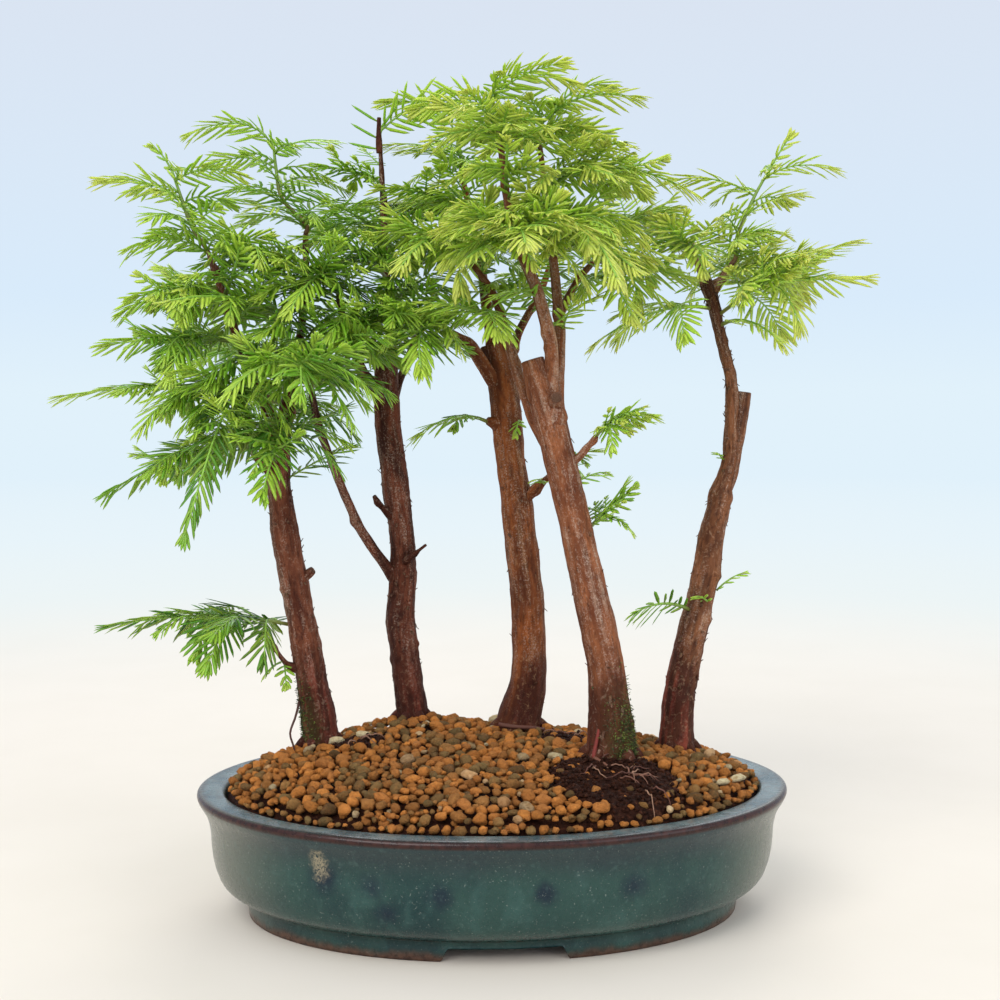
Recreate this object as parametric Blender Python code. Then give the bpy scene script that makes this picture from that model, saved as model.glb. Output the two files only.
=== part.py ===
"""A dawn redwood forest planted in an oval glazed tray.

Five sawn trunks stand in plain holes in dark soil, under a layer of clay grit.
Each leafy stem is one solid: a green shoot with its fronds of paired needles.
Sizes below are in millimetres. new_solid turns them into metres, with +Z up.
The tray's long axis is X, its front faces -Y, and it stands on Z = 0.
"""

import math
import random

import bmesh
import bpy
from mathutils import Matrix, Quaternion, Vector, geometry, noise
from mathutils.bvhtree import BVHTree

MM = 0.001
UP = Vector((0.0, 0.0, 1.0))
SEAT_GAP = 0.3

# Tray
TRAY_LENGTH = 222.0
TRAY_WIDTH = 160.0
TRAY_SIDES = 36
# Inset from the lip and height of each ring, from under the floor to the lip and down inside
TRAY_PROFILE = (
    (25.5, 7.5), (25.0, 0.0), (18.5, 0.0), (18.2, 7.5), (14.4, 8.5), (8.5, 13.5), (5.8, 21.5),
    (4.9, 32.5), (3.6, 38.0), (0.7, 42.6), (0.0, 45.2), (1.0, 47.0), (9.2, 46.6), (10.4, 44.0),
    (12.0, 22.0), (18.0, 13.5), (30.0, 12.0),
)
FLOOR_TOP = 12.0
NOTCH_HALF_WIDTH = 22.5
NOTCH_SLANT = 3.0
NOTCH_HEIGHT = 4.6
DRAIN_SPACING = 90.0
DRAIN_RADIUS = 7.0
SCREEN_SIZE = 20.0
SCREEN_THICKNESS = 1.2
SCREEN_BARS = 2
SCREEN_BAR_WIDTH = 2.0

# Soil and grit
EDGE_INSET = 11.2
EDGE_HEIGHT = 46.0
MOUND_HEIGHT = 13.0
MOUND_POWER = 0.5
MOUND_LEAN = 0.15
HUMP_HEIGHT = 6.0
HUMP_X = -32.0
HUMP_Y = 42.0
HUMP_REACH = 30.0
GRIT_DEPTH = 4.0
PEBBLE_SPACING = 10.8
PEBBLE_RISE = 2.3
PEBBLE_SINK = 0.7
PEBBLE_WANDER = 0.22
HOLLOW_WANDER = 0.12
COARSE_SPACING = 30.0
# Inset and height of the soil's rings below the grit, just inside the tray's wall
SOIL_PROFILE = ((30.5, 12.3), (18.6, 14.1), (12.6, 22.2))
# Centre and half sizes of each bare mound of soil
BARE_SOIL = (
    (-51.0, 14.0, 10.0, 7.0),
    (42.0, -33.0, 23.0, 25.0),
    (29.0, 19.0, 10.0, 8.0),
)
MOUND_SIDES = 12
# Size and rise above the grit's ground of each ring of a bare mound
MOUND_RINGS = ((1.0, -8.0), (1.0, -1.0), (0.78, 0.6), (0.4, 1.4))
MOUND_ROUGHNESS = 1.2
MOUND_GAP = 0.4
HOLE_SIDES = 12
HOLE_CLEARANCE = 0.5
ROOT_DEPTH = 15.0
DRILL_LENGTH = 40.0

# Trunks: x, y, z and diameter of each station, from the soil to the sawn top
TRUNK_SIDES = 8
# Height about the ground, and radius over the base's diameter, of the rings below the first station
TRUNK_FOOT = ((-ROOT_DEPTH, 0.36), (-3.0, 0.46), (2.5, 0.49))
BARK_ROUGHNESS = 0.16
BRANCH_ROUGHNESS = 0.1
TRUNKS = {
    "left": (
        (-66, 27, 58, 13.2), (-71, 27, 89, 11.6), (-75, 27, 114, 11.2), (-80, 27, 142, 10.5),
        (-82, 28, 160, 9.4), (-83, 28, 183, 9.3),
    ),
    "back": (
        (-30, 42, 62, 11.8), (-33, 42, 87, 11.6), (-35, 42, 103, 12.0), (-34, 42, 121, 10.8),
        (-34, 42, 139, 9.8), (-37, 43, 160, 10.8), (-40, 43, 183, 10.4), (-40, 43, 209, 9.2),
    ),
    "middle": (
        (12, 38, 60, 17.0), (16, 38, 74, 15.4), (17, 38, 88, 13.8), (16, 38, 112, 13.2),
        (14, 38, 130, 13.2), (12, 38, 148, 12.6), (9, 38, 169, 11.4), (8, 38, 181, 12.6),
        (6, 39, 199, 11.4), (2, 39, 213, 9.6),
    ),
    "front": (
        (44, -6, 61, 17.6), (43, -6, 79, 15.2), (42, -6, 91, 13.8), (39, -6, 105, 14.0),
        (33, -5, 132, 12.4), (29, -5, 150, 11.9), (25, -5, 167, 11.9), (20, -5, 186, 12.4),
        (14, -4, 206, 9.0),
    ),
    "right": (
        (73, 17, 57, 13.2), (74, 17, 76, 12.6), (77, 17, 91, 12.0), (82, 16, 114, 10.6),
        (85, 16, 132, 10.4), (89, 16, 152, 9.0), (93, 15, 168, 5.6), (93, 15, 199, 4.6),
        (88, 16, 219, 4.4), (85, 16, 231, 5.6), (82, 16, 239, 4.6),
    ),
}
# Woody branches: start and end diameter, then the route, which begins inside the trunk
BRANCH_SIDES = 5
BRANCHES = {
    "left": {
        "rising": (4.4, 2.4, (-83, 26, 179), (-89, 21, 197), (-96, 18, 214), (-101, 14, 231),
                   (-105, 12, 243)),
        "middle": (4.2, 2.4, (-81, 28, 180), (-77, 30, 199), (-73, 34, 218), (-71, 34, 238),
                   (-71, 34, 255)),
        "behind": (3.6, 2.2, (-81, 29, 172), (-87, 47, 189), (-91, 63, 203)),
        "low": (3.4, 2.0, (-81, 27, 158), (-89, 15, 169), (-92, 11, 176), (-92, 9, 189)),
        "forward": (3.4, 2.0, (-80, 26, 166), (-76, 7, 184), (-73, -6, 196)),
        "stub": (3.6, 2.6, (-77, 27, 118), (-69, 24, 125)),
        "twig": (2.6, 1.4, (-72, 27, 84), (-79, 23, 88), (-85, 21, 97)),
    },
    "back": {
        "leader": (4.6, 1.6, (-39, 43, 204), (-37, 42, 216), (-40, 42, 242), (-41, 42, 270),
                   (-42, 42, 290)),
        "low": (4.6, 2.6, (-35, 42, 117), (-45, 38, 131), (-51, 33, 141), (-57, 25, 156), (-66, 16, 181),
                (-68, 12, 194)),
        "upper": (4.0, 2.4, (-40, 43, 186), (-50, 36, 204), (-56, 31, 218), (-58, 27, 230)),
        "behind": (3.8, 2.2, (-39, 44, 188), (-30, 55, 211), (-23, 61, 228)),
        "far": (3.4, 2.2, (-39, 45, 192), (-44, 66, 209), (-47, 82, 222)),
        "twig": (1.8, 1.2, (-35, 41, 125), (-31, 34, 129), (-25, 30, 134)),
        "stub": (2.6, 1.8, (-36, 42, 142), (-41, 38, 147), (-45, 36, 153)),
    },
    "middle": {
        "leader": (5.0, 2.2, (3, 39, 208), (0, 42, 227), (-2, 46, 245), (-6, 49, 265), (-9, 51, 279)),
        "burl": (6.4, 3.0, (4, 38, 196), (-7, 28, 212), (-17, 21, 218)),
        "behind": (4.0, 2.4, (6, 41, 197), (14, 57, 219), (24, 66, 236), (30, 72, 251)),
        "knob": (4.4, 3.2, (7, 38, 181), (-1, 33, 183)),
        "stub": (4.0, 2.2, (12, 38, 148), (19, 33, 156), (24, 31, 161)),
    },
    "front": {
        "twin": (5.8, 2.2, (21, -5, 181), (21, -7, 212), (15, -8, 233), (8, -11, 247), (4, -12, 263),
                 (2, -10, 282)),
        "second": (5.0, 2.0, (23, -4, 183), (25, 1, 217), (23, 4, 240), (20, 6, 266), (18, 7, 284)),
        "side": (4.6, 2.6, (25, -5, 165), (15, 3, 183), (10, 7, 200), (5, 10, 219), (0, 12, 233),
                 (-8, 13, 243)),
        "right": (3.0, 1.8, (24, 2, 222), (32, 9, 236), (41, 15, 246), (48, 21, 254)),
        "low": (2.4, 1.6, (27, -5, 166), (33, -8, 172), (37, -10, 178)),
        "burl": (8.6, 7.0, (22, -7, 181), (23, -9, 190)),
    },
    "right": {
        "second": (6.2, 6.8, (88, 17, 148), (93, 17, 162), (96, 17, 177), (98, 17, 194)),
        "stub": (2.8, 2.3, (83, 16, 235), (79, 13, 243), (76, 12, 251)),
        "knob": (3.8, 2.6, (84, 16, 231), (89, 18, 237), (93, 19, 243)),
    },
}

# Fronds and needles. Shares are parts of a frond's length
NEEDLE_LENGTH = 14.5
NEEDLE_PITCH = 7.3
NEEDLES_END = 0.95
FULL_NEEDLES_FROM = 27.0
NEEDLE_LEAN_FIRST = 64.0
NEEDLE_LEAN_LAST = 34.0
NEEDLE_DROOP = 0.1
TIP_LENGTH = 0.45
FROND_ROOT = 0.1
STEM_BARE = 0.34
RIB_HALF_WIDTH = 0.62
RIB_HEIGHT = 1.0
STEM_SWELL = 0.7
STEM_HALF = 1.2
SIDE_FROND_LENGTH = 31.0
SIDE_FROND_STEP = 0.11
LEADER_FROND_LENGTHS = (21.0, 30.0)
SHOOT_RADIUS = 1.0
SHOOT_TIP_RADIUS = 0.7
SHOOT_SIDES = 4
BEND_CLEARANCE = 0.35
TESTED_FROM = 0.03
FACE_OUT = 0.65
FACE_OUT_FROM_Y = 40.0
BRANCH_END = 0.9

# Leafy stems that rise as leaders: tree, branch, route of the shoot, end of the top frond, how far
# that frond's upper face is turned to the front, and the number of side fronds
LEADERS = {
    "leafy_left_tip": (
        "left", "rising", ((-112, 11, 256), (-115, 10, 265), (-119, 10, 277)), (-125, 8, 284), 0.4, 6),
    "leafy_left_top": (
        "left", "middle", ((-80, 33, 269), (-82, 32, 280), (-83, 32, 290)), (-112, 26, 293), 0.35, 6),
    "leafy_back_top": ("back", "leader", ((-42, 42, 296), (-41, 42, 298)), (-13, 40, 305), 0.95, 0),
    "leafy_middle_top": (
        "middle", "leader", ((-10, 50, 288), (-11, 49, 296)), (-40, 46, 303), 0.5, 3),
    "leafy_front_top": (
        "front", "twin", ((-1, -9, 293), (-2, -8, 303)), (26, -12, 306), 0.35, 6),
    "leafy_front_second": (
        "front", "second", ((20, 7, 292), (24, 6, 301)), (42, 4, 308), 0.35, 4),
    "leafy_right_top": (
        "right", "knob", ((95, 18, 253), (101, 17, 268), (108, 16, 281)), (114, 14, 291), 0.6, 7),
}
# Other leafy stems: tree, branch, place along the branch, end of the stem, number of side fronds
SIDE_STEMS = {
    "leafy_left_a": ("left", "rising", 0.80, (-131, 2, 229), 4),
    "leafy_left_b": ("left", "rising", 0.50, (-143, 14, 212), 3),
    "leafy_left_c": ("left", "rising", 0.22, (-162, 26, 193), 4),
    "leafy_left_d": ("left", "low", 0.62, (-144, 15, 157), 3),
    "leafy_left_e": ("left", "low", 0.92, (-110, -30, 146), 4),
    "leafy_left_f": ("left", "forward", 0.96, (-68, -56, 194), 2),
    "leafy_left_g": ("left", "forward", 0.55, (-82, -42, 161), 2),
    "leafy_left_h": ("left", "middle", 0.35, (-41, -18, 214), 4),
    "leafy_left_i": ("left", "middle", 0.70, (-104, -12, 256), 4),
    "leafy_left_j": ("left", "behind", 0.95, (-124, 104, 206), 2),
    "leafy_left_k": ("left", "behind", 0.60, (-74, 108, 186), 1),
    "leafy_left_l": ("left", "rising", 0.62, (-130, 62, 244), 2),
    "leafy_left_m": ("left", "middle", 0.52, (-114, -30, 226), 1),
    "leafy_left_low": ("left", "trunk", 0.52, (-144, 14, 106), 4),
    "leafy_back_a": ("back", "leader", 0.84, (-64, 37, 282), 2),
    "leafy_back_b": ("back", "leader", 0.48, (-58, -6, 250), 3),
    "leafy_back_c": ("back", "leader", 0.70, (-14, 86, 272), 2),
    "leafy_back_d": ("back", "leader", 0.60, (-70, 84, 264), 2),
    "leafy_back_e": ("back", "leader", 0.26, (-32, -18, 226), 2),
    "leafy_back_f": ("back", "far", 0.95, (-49, 122, 220), 2),
    "leafy_back_g": ("back", "upper", 0.90, (-74, -14, 224), 2),
    "leafy_back_h": ("back", "low", 0.97, (-52, -30, 184), 2),
    "leafy_middle_a": ("middle", "leader", 0.78, (-40, 22, 272), 3),
    "leafy_middle_c": ("middle", "leader", 0.62, (0, 104, 278), 2),
    "leafy_middle_d": ("middle", "burl", 0.95, (-28, -22, 212), 3),
    "leafy_middle_e": ("middle", "behind", 0.95, (56, 100, 268), 2),
    "leafy_middle_g": ("middle", "knob", 0.95, (-26, 26, 179), 1),
    "leafy_middle_h": ("middle", "stub", 0.90, (40, 28, 171), 1),
    "leafy_front_a": ("front", "twin", 0.62, (6, -66, 243), 4),
    "leafy_front_b": ("front", "second", 0.66, (38, -54, 233), 4),
    "leafy_front_c": ("front", "second", 0.86, (70, -12, 268), 4),
    "leafy_front_d": ("front", "right", 0.95, (76, 46, 264), 3),
    "leafy_front_e": ("front", "right", 0.62, (73, 10, 238), 2),
    "leafy_front_f": ("front", "side", 0.92, (-34, -26, 239), 4),
    "leafy_front_g": ("front", "low", 0.95, (55, -18, 186), 2),
    "leafy_front_h": ("front", "trunk", 0.66, (49, 4, 158), 2),
    "leafy_right_a": ("right", "knob", 0.55, (142, 12, 238), 4),
    "leafy_right_b": ("right", "trunk", 0.87, (126, -24, 248), 4),
    "leafy_right_c": ("right", "stub", 0.80, (63, -8, 257), 4),
    "leafy_right_d": ("right", "trunk", 0.89, (38, -8, 213), 3),
    "leafy_right_e": ("right", "trunk", 0.84, (105, -12, 213), 0),
    "leafy_right_f": ("right", "knob", 0.80, (116, 66, 250), 2),
    "leafy_right_low": ("right", "trunk", 0.40, (54, -4, 112), 0),
}
SEED = 41


def clear_scene():
    """Removes whatever objects the file holds."""
    for old in list(bpy.data.objects):
        bpy.data.objects.remove(old, do_unlink=True)


def new_collection(name):
    """A collection linked to the scene."""
    collection = bpy.data.collections.new(name)
    bpy.context.scene.collection.children.link(collection)
    return collection


def new_material(name, color, roughness):
    """A Principled material with a plain colour."""
    material = bpy.data.materials.new(name)
    material.use_nodes = True
    shader = material.node_tree.nodes["Principled BSDF"]
    shader.inputs["Base Color"].default_value = (*color, 1.0)
    shader.inputs["Roughness"].default_value = roughness
    shader.inputs["Metallic"].default_value = 0.0
    return material


def new_solid(bm, name, collection, material=None):
    """An object in metres from a closed bmesh in millimetres."""
    bmesh.ops.recalc_face_normals(bm, faces=bm.faces[:])
    bm.transform(Matrix.Scale(MM, 4))
    mesh = bpy.data.meshes.new(name)
    bm.to_mesh(mesh)
    bm.free()
    if material:
        mesh.materials.append(material)
    solid = bpy.data.objects.new(name, mesh)
    collection.objects.link(solid)
    return solid


def as_cutter(cutter):
    """Keeps a cutter out of the finished object."""
    cutter.hide_render = True
    cutter.display_type = "WIRE"
    return cutter


def apply_boolean(solid, operation, others):
    """Cuts or joins a solid with every object of a collection, then removes those objects."""
    modifier = solid.modifiers.new(operation.title(), "BOOLEAN")
    modifier.operand_type = "COLLECTION"
    modifier.collection = others
    modifier.operation = operation
    modifier.solver = "EXACT"
    bpy.context.view_layer.objects.active = solid
    bpy.ops.object.modifier_apply(modifier=modifier.name)
    for used in list(others.objects):
        bpy.data.objects.remove(used, do_unlink=True)


def bridge(bm, rings):
    """Joins rings of equal length with faces."""
    for lower, upper in zip(rings, rings[1:]):
        count = len(lower)
        for i in range(count):
            j = (i + 1) % count
            bm.faces.new((lower[i], lower[j], upper[j], upper[i]))


def loft(bm, rings):
    """A closed solid through rings of points."""
    rows = [[bm.verts.new(point) for point in ring] for ring in rings]
    bridge(bm, rows)
    bm.faces.new(rows[0])
    bm.faces.new(rows[-1])


def oval(inset, height, sides=TRAY_SIDES):
    """A ring parallel to the tray's lip."""
    half_length = TRAY_LENGTH / 2 - inset
    half_width = TRAY_WIDTH / 2 - inset
    angles = [2 * math.pi * i / sides for i in range(sides)]
    return [Vector((half_length * math.cos(a), half_width * math.sin(a), height)) for a in angles]


def circle(x, y, z, radius, sides, stretch=1.0):
    """A level ring round a point. stretch is its depth over its width."""
    angles = [2 * math.pi * i / sides for i in range(sides)]
    return [Vector((x + radius * math.cos(a), y + radius * stretch * math.sin(a), z)) for a in angles]


def ground(x, y):
    """Height of the grit's surface, mounded towards the middle and the back."""
    half_length = TRAY_LENGTH / 2 - EDGE_INSET
    half_width = TRAY_WIDTH / 2 - EDGE_INSET
    inside = max(0.0, 1.0 - (x / half_length) ** 2 - (y / half_width) ** 2)
    mound = MOUND_HEIGHT * inside ** MOUND_POWER * (1 + MOUND_LEAN * y / half_width)
    away = ((x - HUMP_X) ** 2 + (y - HUMP_Y) ** 2) / HUMP_REACH ** 2
    return EDGE_HEIGHT + mound + HUMP_HEIGHT * math.exp(-away) * min(1.0, 3 * inside)


def inside_edge(x, y, margin):
    """Whether a place lies on the planting, at least margin from its edge."""
    half_length = TRAY_LENGTH / 2 - EDGE_INSET - margin
    half_width = TRAY_WIDTH / 2 - EDGE_INSET - margin
    return (x / half_length) ** 2 + (y / half_width) ** 2 < 1.0


def make_notch_cutter(collection):
    """A slanted block through the foot's front and back."""
    bm = bmesh.new()
    bmesh.ops.create_cube(bm, size=1.0)
    for vert in bm.verts:
        top = vert.co.z > 0
        half = NOTCH_HALF_WIDTH - (NOTCH_SLANT if top else 0.0)
        vert.co.x = math.copysign(half, vert.co.x)
        vert.co.y = math.copysign(TRAY_WIDTH / 2, vert.co.y)
        vert.co.z = NOTCH_HEIGHT if top else -1.0
    return as_cutter(new_solid(bm, "cut_notch", collection))


def make_tray(parts, cutters, material):
    """The glazed tray with its foot notches and drainage holes."""
    bm = bmesh.new()
    loft(bm, [oval(inset, height) for inset, height in TRAY_PROFILE])
    tray = new_solid(bm, "tray", parts, material)
    make_notch_cutter(cutters)
    for side in (-1, 1):
        bm = bmesh.new()
        x = side * DRAIN_SPACING / 2
        loft(bm, [circle(x, 0, z, DRAIN_RADIUS, HOLE_SIDES) for z in (0.0, FLOOR_TOP + 2.0)])
        as_cutter(new_solid(bm, "cut_drain", cutters))
    apply_boolean(tray, "DIFFERENCE", cutters)
    return tray


def make_screen(name, side, parts, cutters, material):
    """A plastic mesh square that lies over one drainage hole."""
    x = side * DRAIN_SPACING / 2
    low = FLOOR_TOP + SEAT_GAP
    bm = bmesh.new()
    bmesh.ops.create_cube(bm, size=1.0)
    bmesh.ops.scale(bm, vec=(SCREEN_SIZE, SCREEN_SIZE, SCREEN_THICKNESS), verts=bm.verts)
    bmesh.ops.translate(bm, vec=(x, 0, low + SCREEN_THICKNESS / 2), verts=bm.verts)
    screen = new_solid(bm, name, parts, material)
    pitch = (SCREEN_SIZE - SCREEN_BAR_WIDTH) / SCREEN_BARS
    opening = pitch - SCREEN_BAR_WIDTH
    for i in range(SCREEN_BARS):
        for j in range(SCREEN_BARS):
            bm = bmesh.new()
            bmesh.ops.create_cube(bm, size=1.0)
            bmesh.ops.scale(bm, vec=(opening, opening, 3 * SCREEN_THICKNESS), verts=bm.verts)
            centre_x = x + (i - (SCREEN_BARS - 1) / 2) * pitch
            centre_y = (j - (SCREEN_BARS - 1) / 2) * pitch
            bmesh.ops.translate(bm, vec=(centre_x, centre_y, low + SCREEN_THICKNESS / 2), verts=bm.verts)
            as_cutter(new_solid(bm, "cut_mesh", cutters))
    apply_boolean(screen, "DIFFERENCE", cutters)
    return screen


def coarse_points():
    """Places inside the planting that carry a plain mounded surface."""
    count = int(TRAY_LENGTH / COARSE_SPACING)
    places = []
    for i in range(-count, count + 1):
        for j in range(-count, count + 1):
            x = (i + 0.5 * (j % 2)) * COARSE_SPACING
            y = j * COARSE_SPACING * math.sqrt(3) / 2
            if inside_edge(x, y, COARSE_SPACING * 0.4):
                places.append((x, y))
    return places


def add_surface(bm, edge, places, height):
    """Faces over a convex edge and the places inside it, at the height that a function gives."""
    flat = [Vector((vert.co.x, vert.co.y)) for vert in edge] + [Vector(place) for place in places]
    triangles = geometry.delaunay_2d_cdt(flat, [], [], 0, 1e-6)[2]
    inner = [bm.verts.new((x, y, height(i, x, y))) for i, (x, y) in enumerate(places)]
    verts = edge + inner
    for triangle in triangles:
        bm.faces.new([verts[i] for i in triangle])


def pebble_places():
    """Pebble tops and the low places between them, on a jittered honeycomb."""
    rng = random.Random(SEED)
    step = PEBBLE_SPACING / math.sqrt(3)
    rows = int(TRAY_WIDTH / step)
    columns = int(TRAY_LENGTH / step)
    places = []
    rises = []
    for j in range(-rows, rows + 1):
        for i in range(-columns, columns + 1):
            shift = 0.5 * (j % 2)
            top = (i - (j - j % 2) // 2 - j) % 3 == 0
            wander = step * (PEBBLE_WANDER if top else HOLLOW_WANDER)
            x = (i + shift) * step + rng.uniform(-wander, wander)
            y = j * step * math.sqrt(3) / 2 + rng.uniform(-wander, wander)
            rise = rng.uniform(0.7, 1.25) * PEBBLE_RISE
            if not top:
                rise = -rng.uniform(0.5, 1.0) * PEBBLE_SINK
            if inside_edge(x, y, step * 0.55):
                places.append((x, y))
                rises.append(rise)
    return places, rises


def planting_edge(bm, height):
    """A ring of vertices round the planting."""
    ring = oval(EDGE_INSET, 0.0)
    return [bm.verts.new((point.x, point.y, height)) for point in ring]


def hole_radius(tree):
    """Radius of the plain hole that a trunk stands in."""
    return (TRUNKS[tree][0][3] / 2 + HOLE_CLEARANCE) / math.cos(math.pi / HOLE_SIDES)


def add_hole_cutters(cutters):
    """An upright drill for each trunk's hole."""
    for tree, stations in TRUNKS.items():
        x, y = stations[0][:2]
        bottom = ground(x, y) - ROOT_DEPTH - SEAT_GAP
        bm = bmesh.new()
        top = bottom + DRILL_LENGTH
        loft(bm, [circle(x, y, z, hole_radius(tree), HOLE_SIDES) for z in (bottom, top)])
        as_cutter(new_solid(bm, "cut_hole_" + tree, cutters))


def make_grit(parts, cutters, material):
    """The pebble layer, its pebbles raised from one surface."""
    bm = bmesh.new()
    top_edge = planting_edge(bm, EDGE_HEIGHT)
    low_edge = planting_edge(bm, EDGE_HEIGHT - GRIT_DEPTH)
    bridge(bm, [low_edge, top_edge])
    places, rises = pebble_places()
    add_surface(bm, top_edge, places, lambda i, x, y: ground(x, y) + rises[i])
    add_surface(bm, low_edge, coarse_points(), lambda i, x, y: ground(x, y) - GRIT_DEPTH)
    grit = new_solid(bm, "grit", parts, material)
    add_hole_cutters(cutters)
    for x, y, half_x, half_y in BARE_SOIL:
        bm = bmesh.new()
        radius = half_x + MOUND_GAP
        stretch = (half_y + MOUND_GAP) / radius
        low = EDGE_HEIGHT - DRILL_LENGTH / 2
        loft(bm, [circle(x, y, z, radius, MOUND_SIDES, stretch) for z in (low, low + 2 * DRILL_LENGTH)])
        as_cutter(new_solid(bm, "cut_bare", cutters))
    apply_boolean(grit, "DIFFERENCE", cutters)
    return grit


def make_bare_mound(x, y, half_x, half_y, collection):
    """A low rough mound of soil that comes up through the grit."""
    stretch = half_y / half_x
    bm = bmesh.new()
    rings = []
    for share, rise in MOUND_RINGS:
        ring = circle(x, y, 0.0, half_x * share, MOUND_SIDES, stretch)
        for point in ring:
            rough = noise.noise(point * 0.23) * MOUND_ROUGHNESS * (share < 1.0)
            point.z = ground(point.x, point.y) + rise + rough
        rings.append(ring)
    loft(bm, rings)
    return new_solid(bm, "mound", collection)


def make_soil(parts, cutters, material):
    """The soil that fills the tray, with its bare mounds and the holes for the trunks."""
    top = -GRIT_DEPTH - SEAT_GAP
    bm = bmesh.new()
    rings = [[bm.verts.new(point) for point in oval(inset, height)] for inset, height in SOIL_PROFILE]
    edge = planting_edge(bm, EDGE_HEIGHT + top)
    bridge(bm, rings + [edge])
    bm.faces.new(rings[0])
    add_surface(bm, edge, coarse_points(), lambda i, x, y: ground(x, y) + top)
    soil = new_solid(bm, "soil", parts, material)
    for mound in BARE_SOIL:
        make_bare_mound(*mound, cutters)
    apply_boolean(soil, "UNION", cutters)
    add_hole_cutters(cutters)
    for side in (-1, 1):
        bm = bmesh.new()
        bmesh.ops.create_cube(bm, size=1.0)
        pocket = SCREEN_SIZE + 2 * SEAT_GAP
        height = 2 * (SCREEN_THICKNESS + 2 * SEAT_GAP)
        bmesh.ops.scale(bm, vec=(pocket, pocket, height), verts=bm.verts)
        bmesh.ops.translate(bm, vec=(side * DRAIN_SPACING / 2, 0, FLOOR_TOP), verts=bm.verts)
        as_cutter(new_solid(bm, "cut_pocket", cutters))
    apply_boolean(soil, "DIFFERENCE", cutters)
    return soil


def smooth_route(points, steps):
    """Points at even steps along a smooth curve through a few given points."""
    points = [Vector(point) for point in points]
    if len(points) == 2:
        return [points[0].lerp(points[1], i / steps) for i in range(steps + 1)]
    padded = [2 * points[0] - points[1]] + points + [2 * points[-1] - points[-2]]
    route = []
    spans = len(points) - 1
    for i in range(steps + 1):
        place = min(i / steps * spans, spans - 1e-6)
        k = int(place)
        t = place - k
        a, b, c, d = padded[k:k + 4]
        route.append(0.5 * (2 * b + (c - a) * t + (2 * a - 5 * b + 4 * c - d) * t ** 2
                            + (3 * b - 3 * c + d - a) * t ** 3))
    return route


def tangents(route):
    """Unit directions along a route."""
    last = len(route) - 1
    return [(route[min(i + 1, last)] - route[max(i - 1, 0)]).normalized() for i in range(last + 1)]


def tube_rings(route, radii, sides, roughness=0.0):
    """Rings round a route, turned as little as possible from one to the next."""
    directions = tangents(route)
    side = directions[0].orthogonal().normalized()
    rings = []
    for k, (centre, direction, radius) in enumerate(zip(route, directions, radii)):
        if k:
            side = directions[k - 1].rotation_difference(direction) @ side
        side = (side - direction * side.dot(direction)).normalized()
        other = direction.cross(side)
        ring = []
        for i in range(sides):
            angle = 2 * math.pi * i / sides
            ray = side * math.cos(angle) + other * math.sin(angle)
            swell = 1.0 + roughness * noise.noise(Vector((3.1 * i, 0.11 * centre.z, 0.05 * centre.x)))
            ring.append(centre + ray * radius * swell)
        rings.append(ring)
    return rings


def blend(first, last, share):
    """A value between two others."""
    return first + (last - first) * share


def trunk_route(tree):
    """Stations of a trunk from the bottom of its hole to its top, and their radii."""
    stations = TRUNKS[tree]
    x, y, z, diameter = stations[0]
    foot = ground(x, y)
    route = [Vector((x, y, foot + rise)) for rise, _ in TRUNK_FOOT]
    radii = [diameter * share for _, share in TRUNK_FOOT]
    for x, y, z, diameter in stations[1:]:
        route.append(Vector((x, y, z)))
        radii.append(diameter / 2)
    return route, radii


def branch_route(tree, branch):
    """A woody branch as a smooth route, and its radii."""
    first, last, *points = BRANCHES[tree][branch]
    steps = max(2, len(points) - 1)
    route = smooth_route(points, steps)
    radii = [blend(first, last, i / steps) / 2 for i in range(steps + 1)]
    return route, radii


def trunk_solid(tree):
    """A trunk's route, its radii and its closed bmesh."""
    route, radii = trunk_route(tree)
    bm = bmesh.new()
    loft(bm, tube_rings(route, radii, TRUNK_SIDES, BARK_ROUGHNESS))
    return route, radii, bm


def branch_solid(tree, branch):
    """A branch's route, its radii and its closed bmesh."""
    route, radii = branch_route(tree, branch)
    bm = bmesh.new()
    loft(bm, tube_rings(route, radii, BRANCH_SIDES, BRANCH_ROUGHNESS))
    return route, radii, bm


def make_tree(tree, parts, cutters, material):
    """A trunk joined with its branches, stubs and burls."""
    trunk = new_solid(trunk_solid(tree)[2], "trunk_" + tree, parts, material)
    for branch in BRANCHES[tree]:
        new_solid(branch_solid(tree, branch)[2], branch, cutters)
    apply_boolean(trunk, "UNION", cutters)
    return trunk


def along(route, radii, share):
    """Centre, direction and radius part of the way along a route."""
    place = share * (len(route) - 1)
    k = min(int(place), len(route) - 2)
    t = place - k
    direction = (route[k + 1] - route[k]).normalized()
    return route[k].lerp(route[k + 1], t), direction, blend(radii[k], radii[k + 1], t)


def arched(start, middle, end, t):
    """A point on an arc that leaves start towards middle and comes to rest at end."""
    return start * (1 - t) ** 2 + middle * (2 * t * (1 - t)) + end * t ** 2


def arc_direction(start, middle, end, t):
    """Unit direction of that arc."""
    return ((middle - start) * (1 - t) + (end - middle) * t).normalized()


def needle_share(u):
    """Length of a needle against the longest, by its place on the frond."""
    if u < 0.4:
        return 0.62 + 0.38 * math.sin(math.pi / 2 * u / 0.4)
    return 1.0 - 0.5 * ((u - 0.4) / 0.6) ** 1.6


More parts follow.
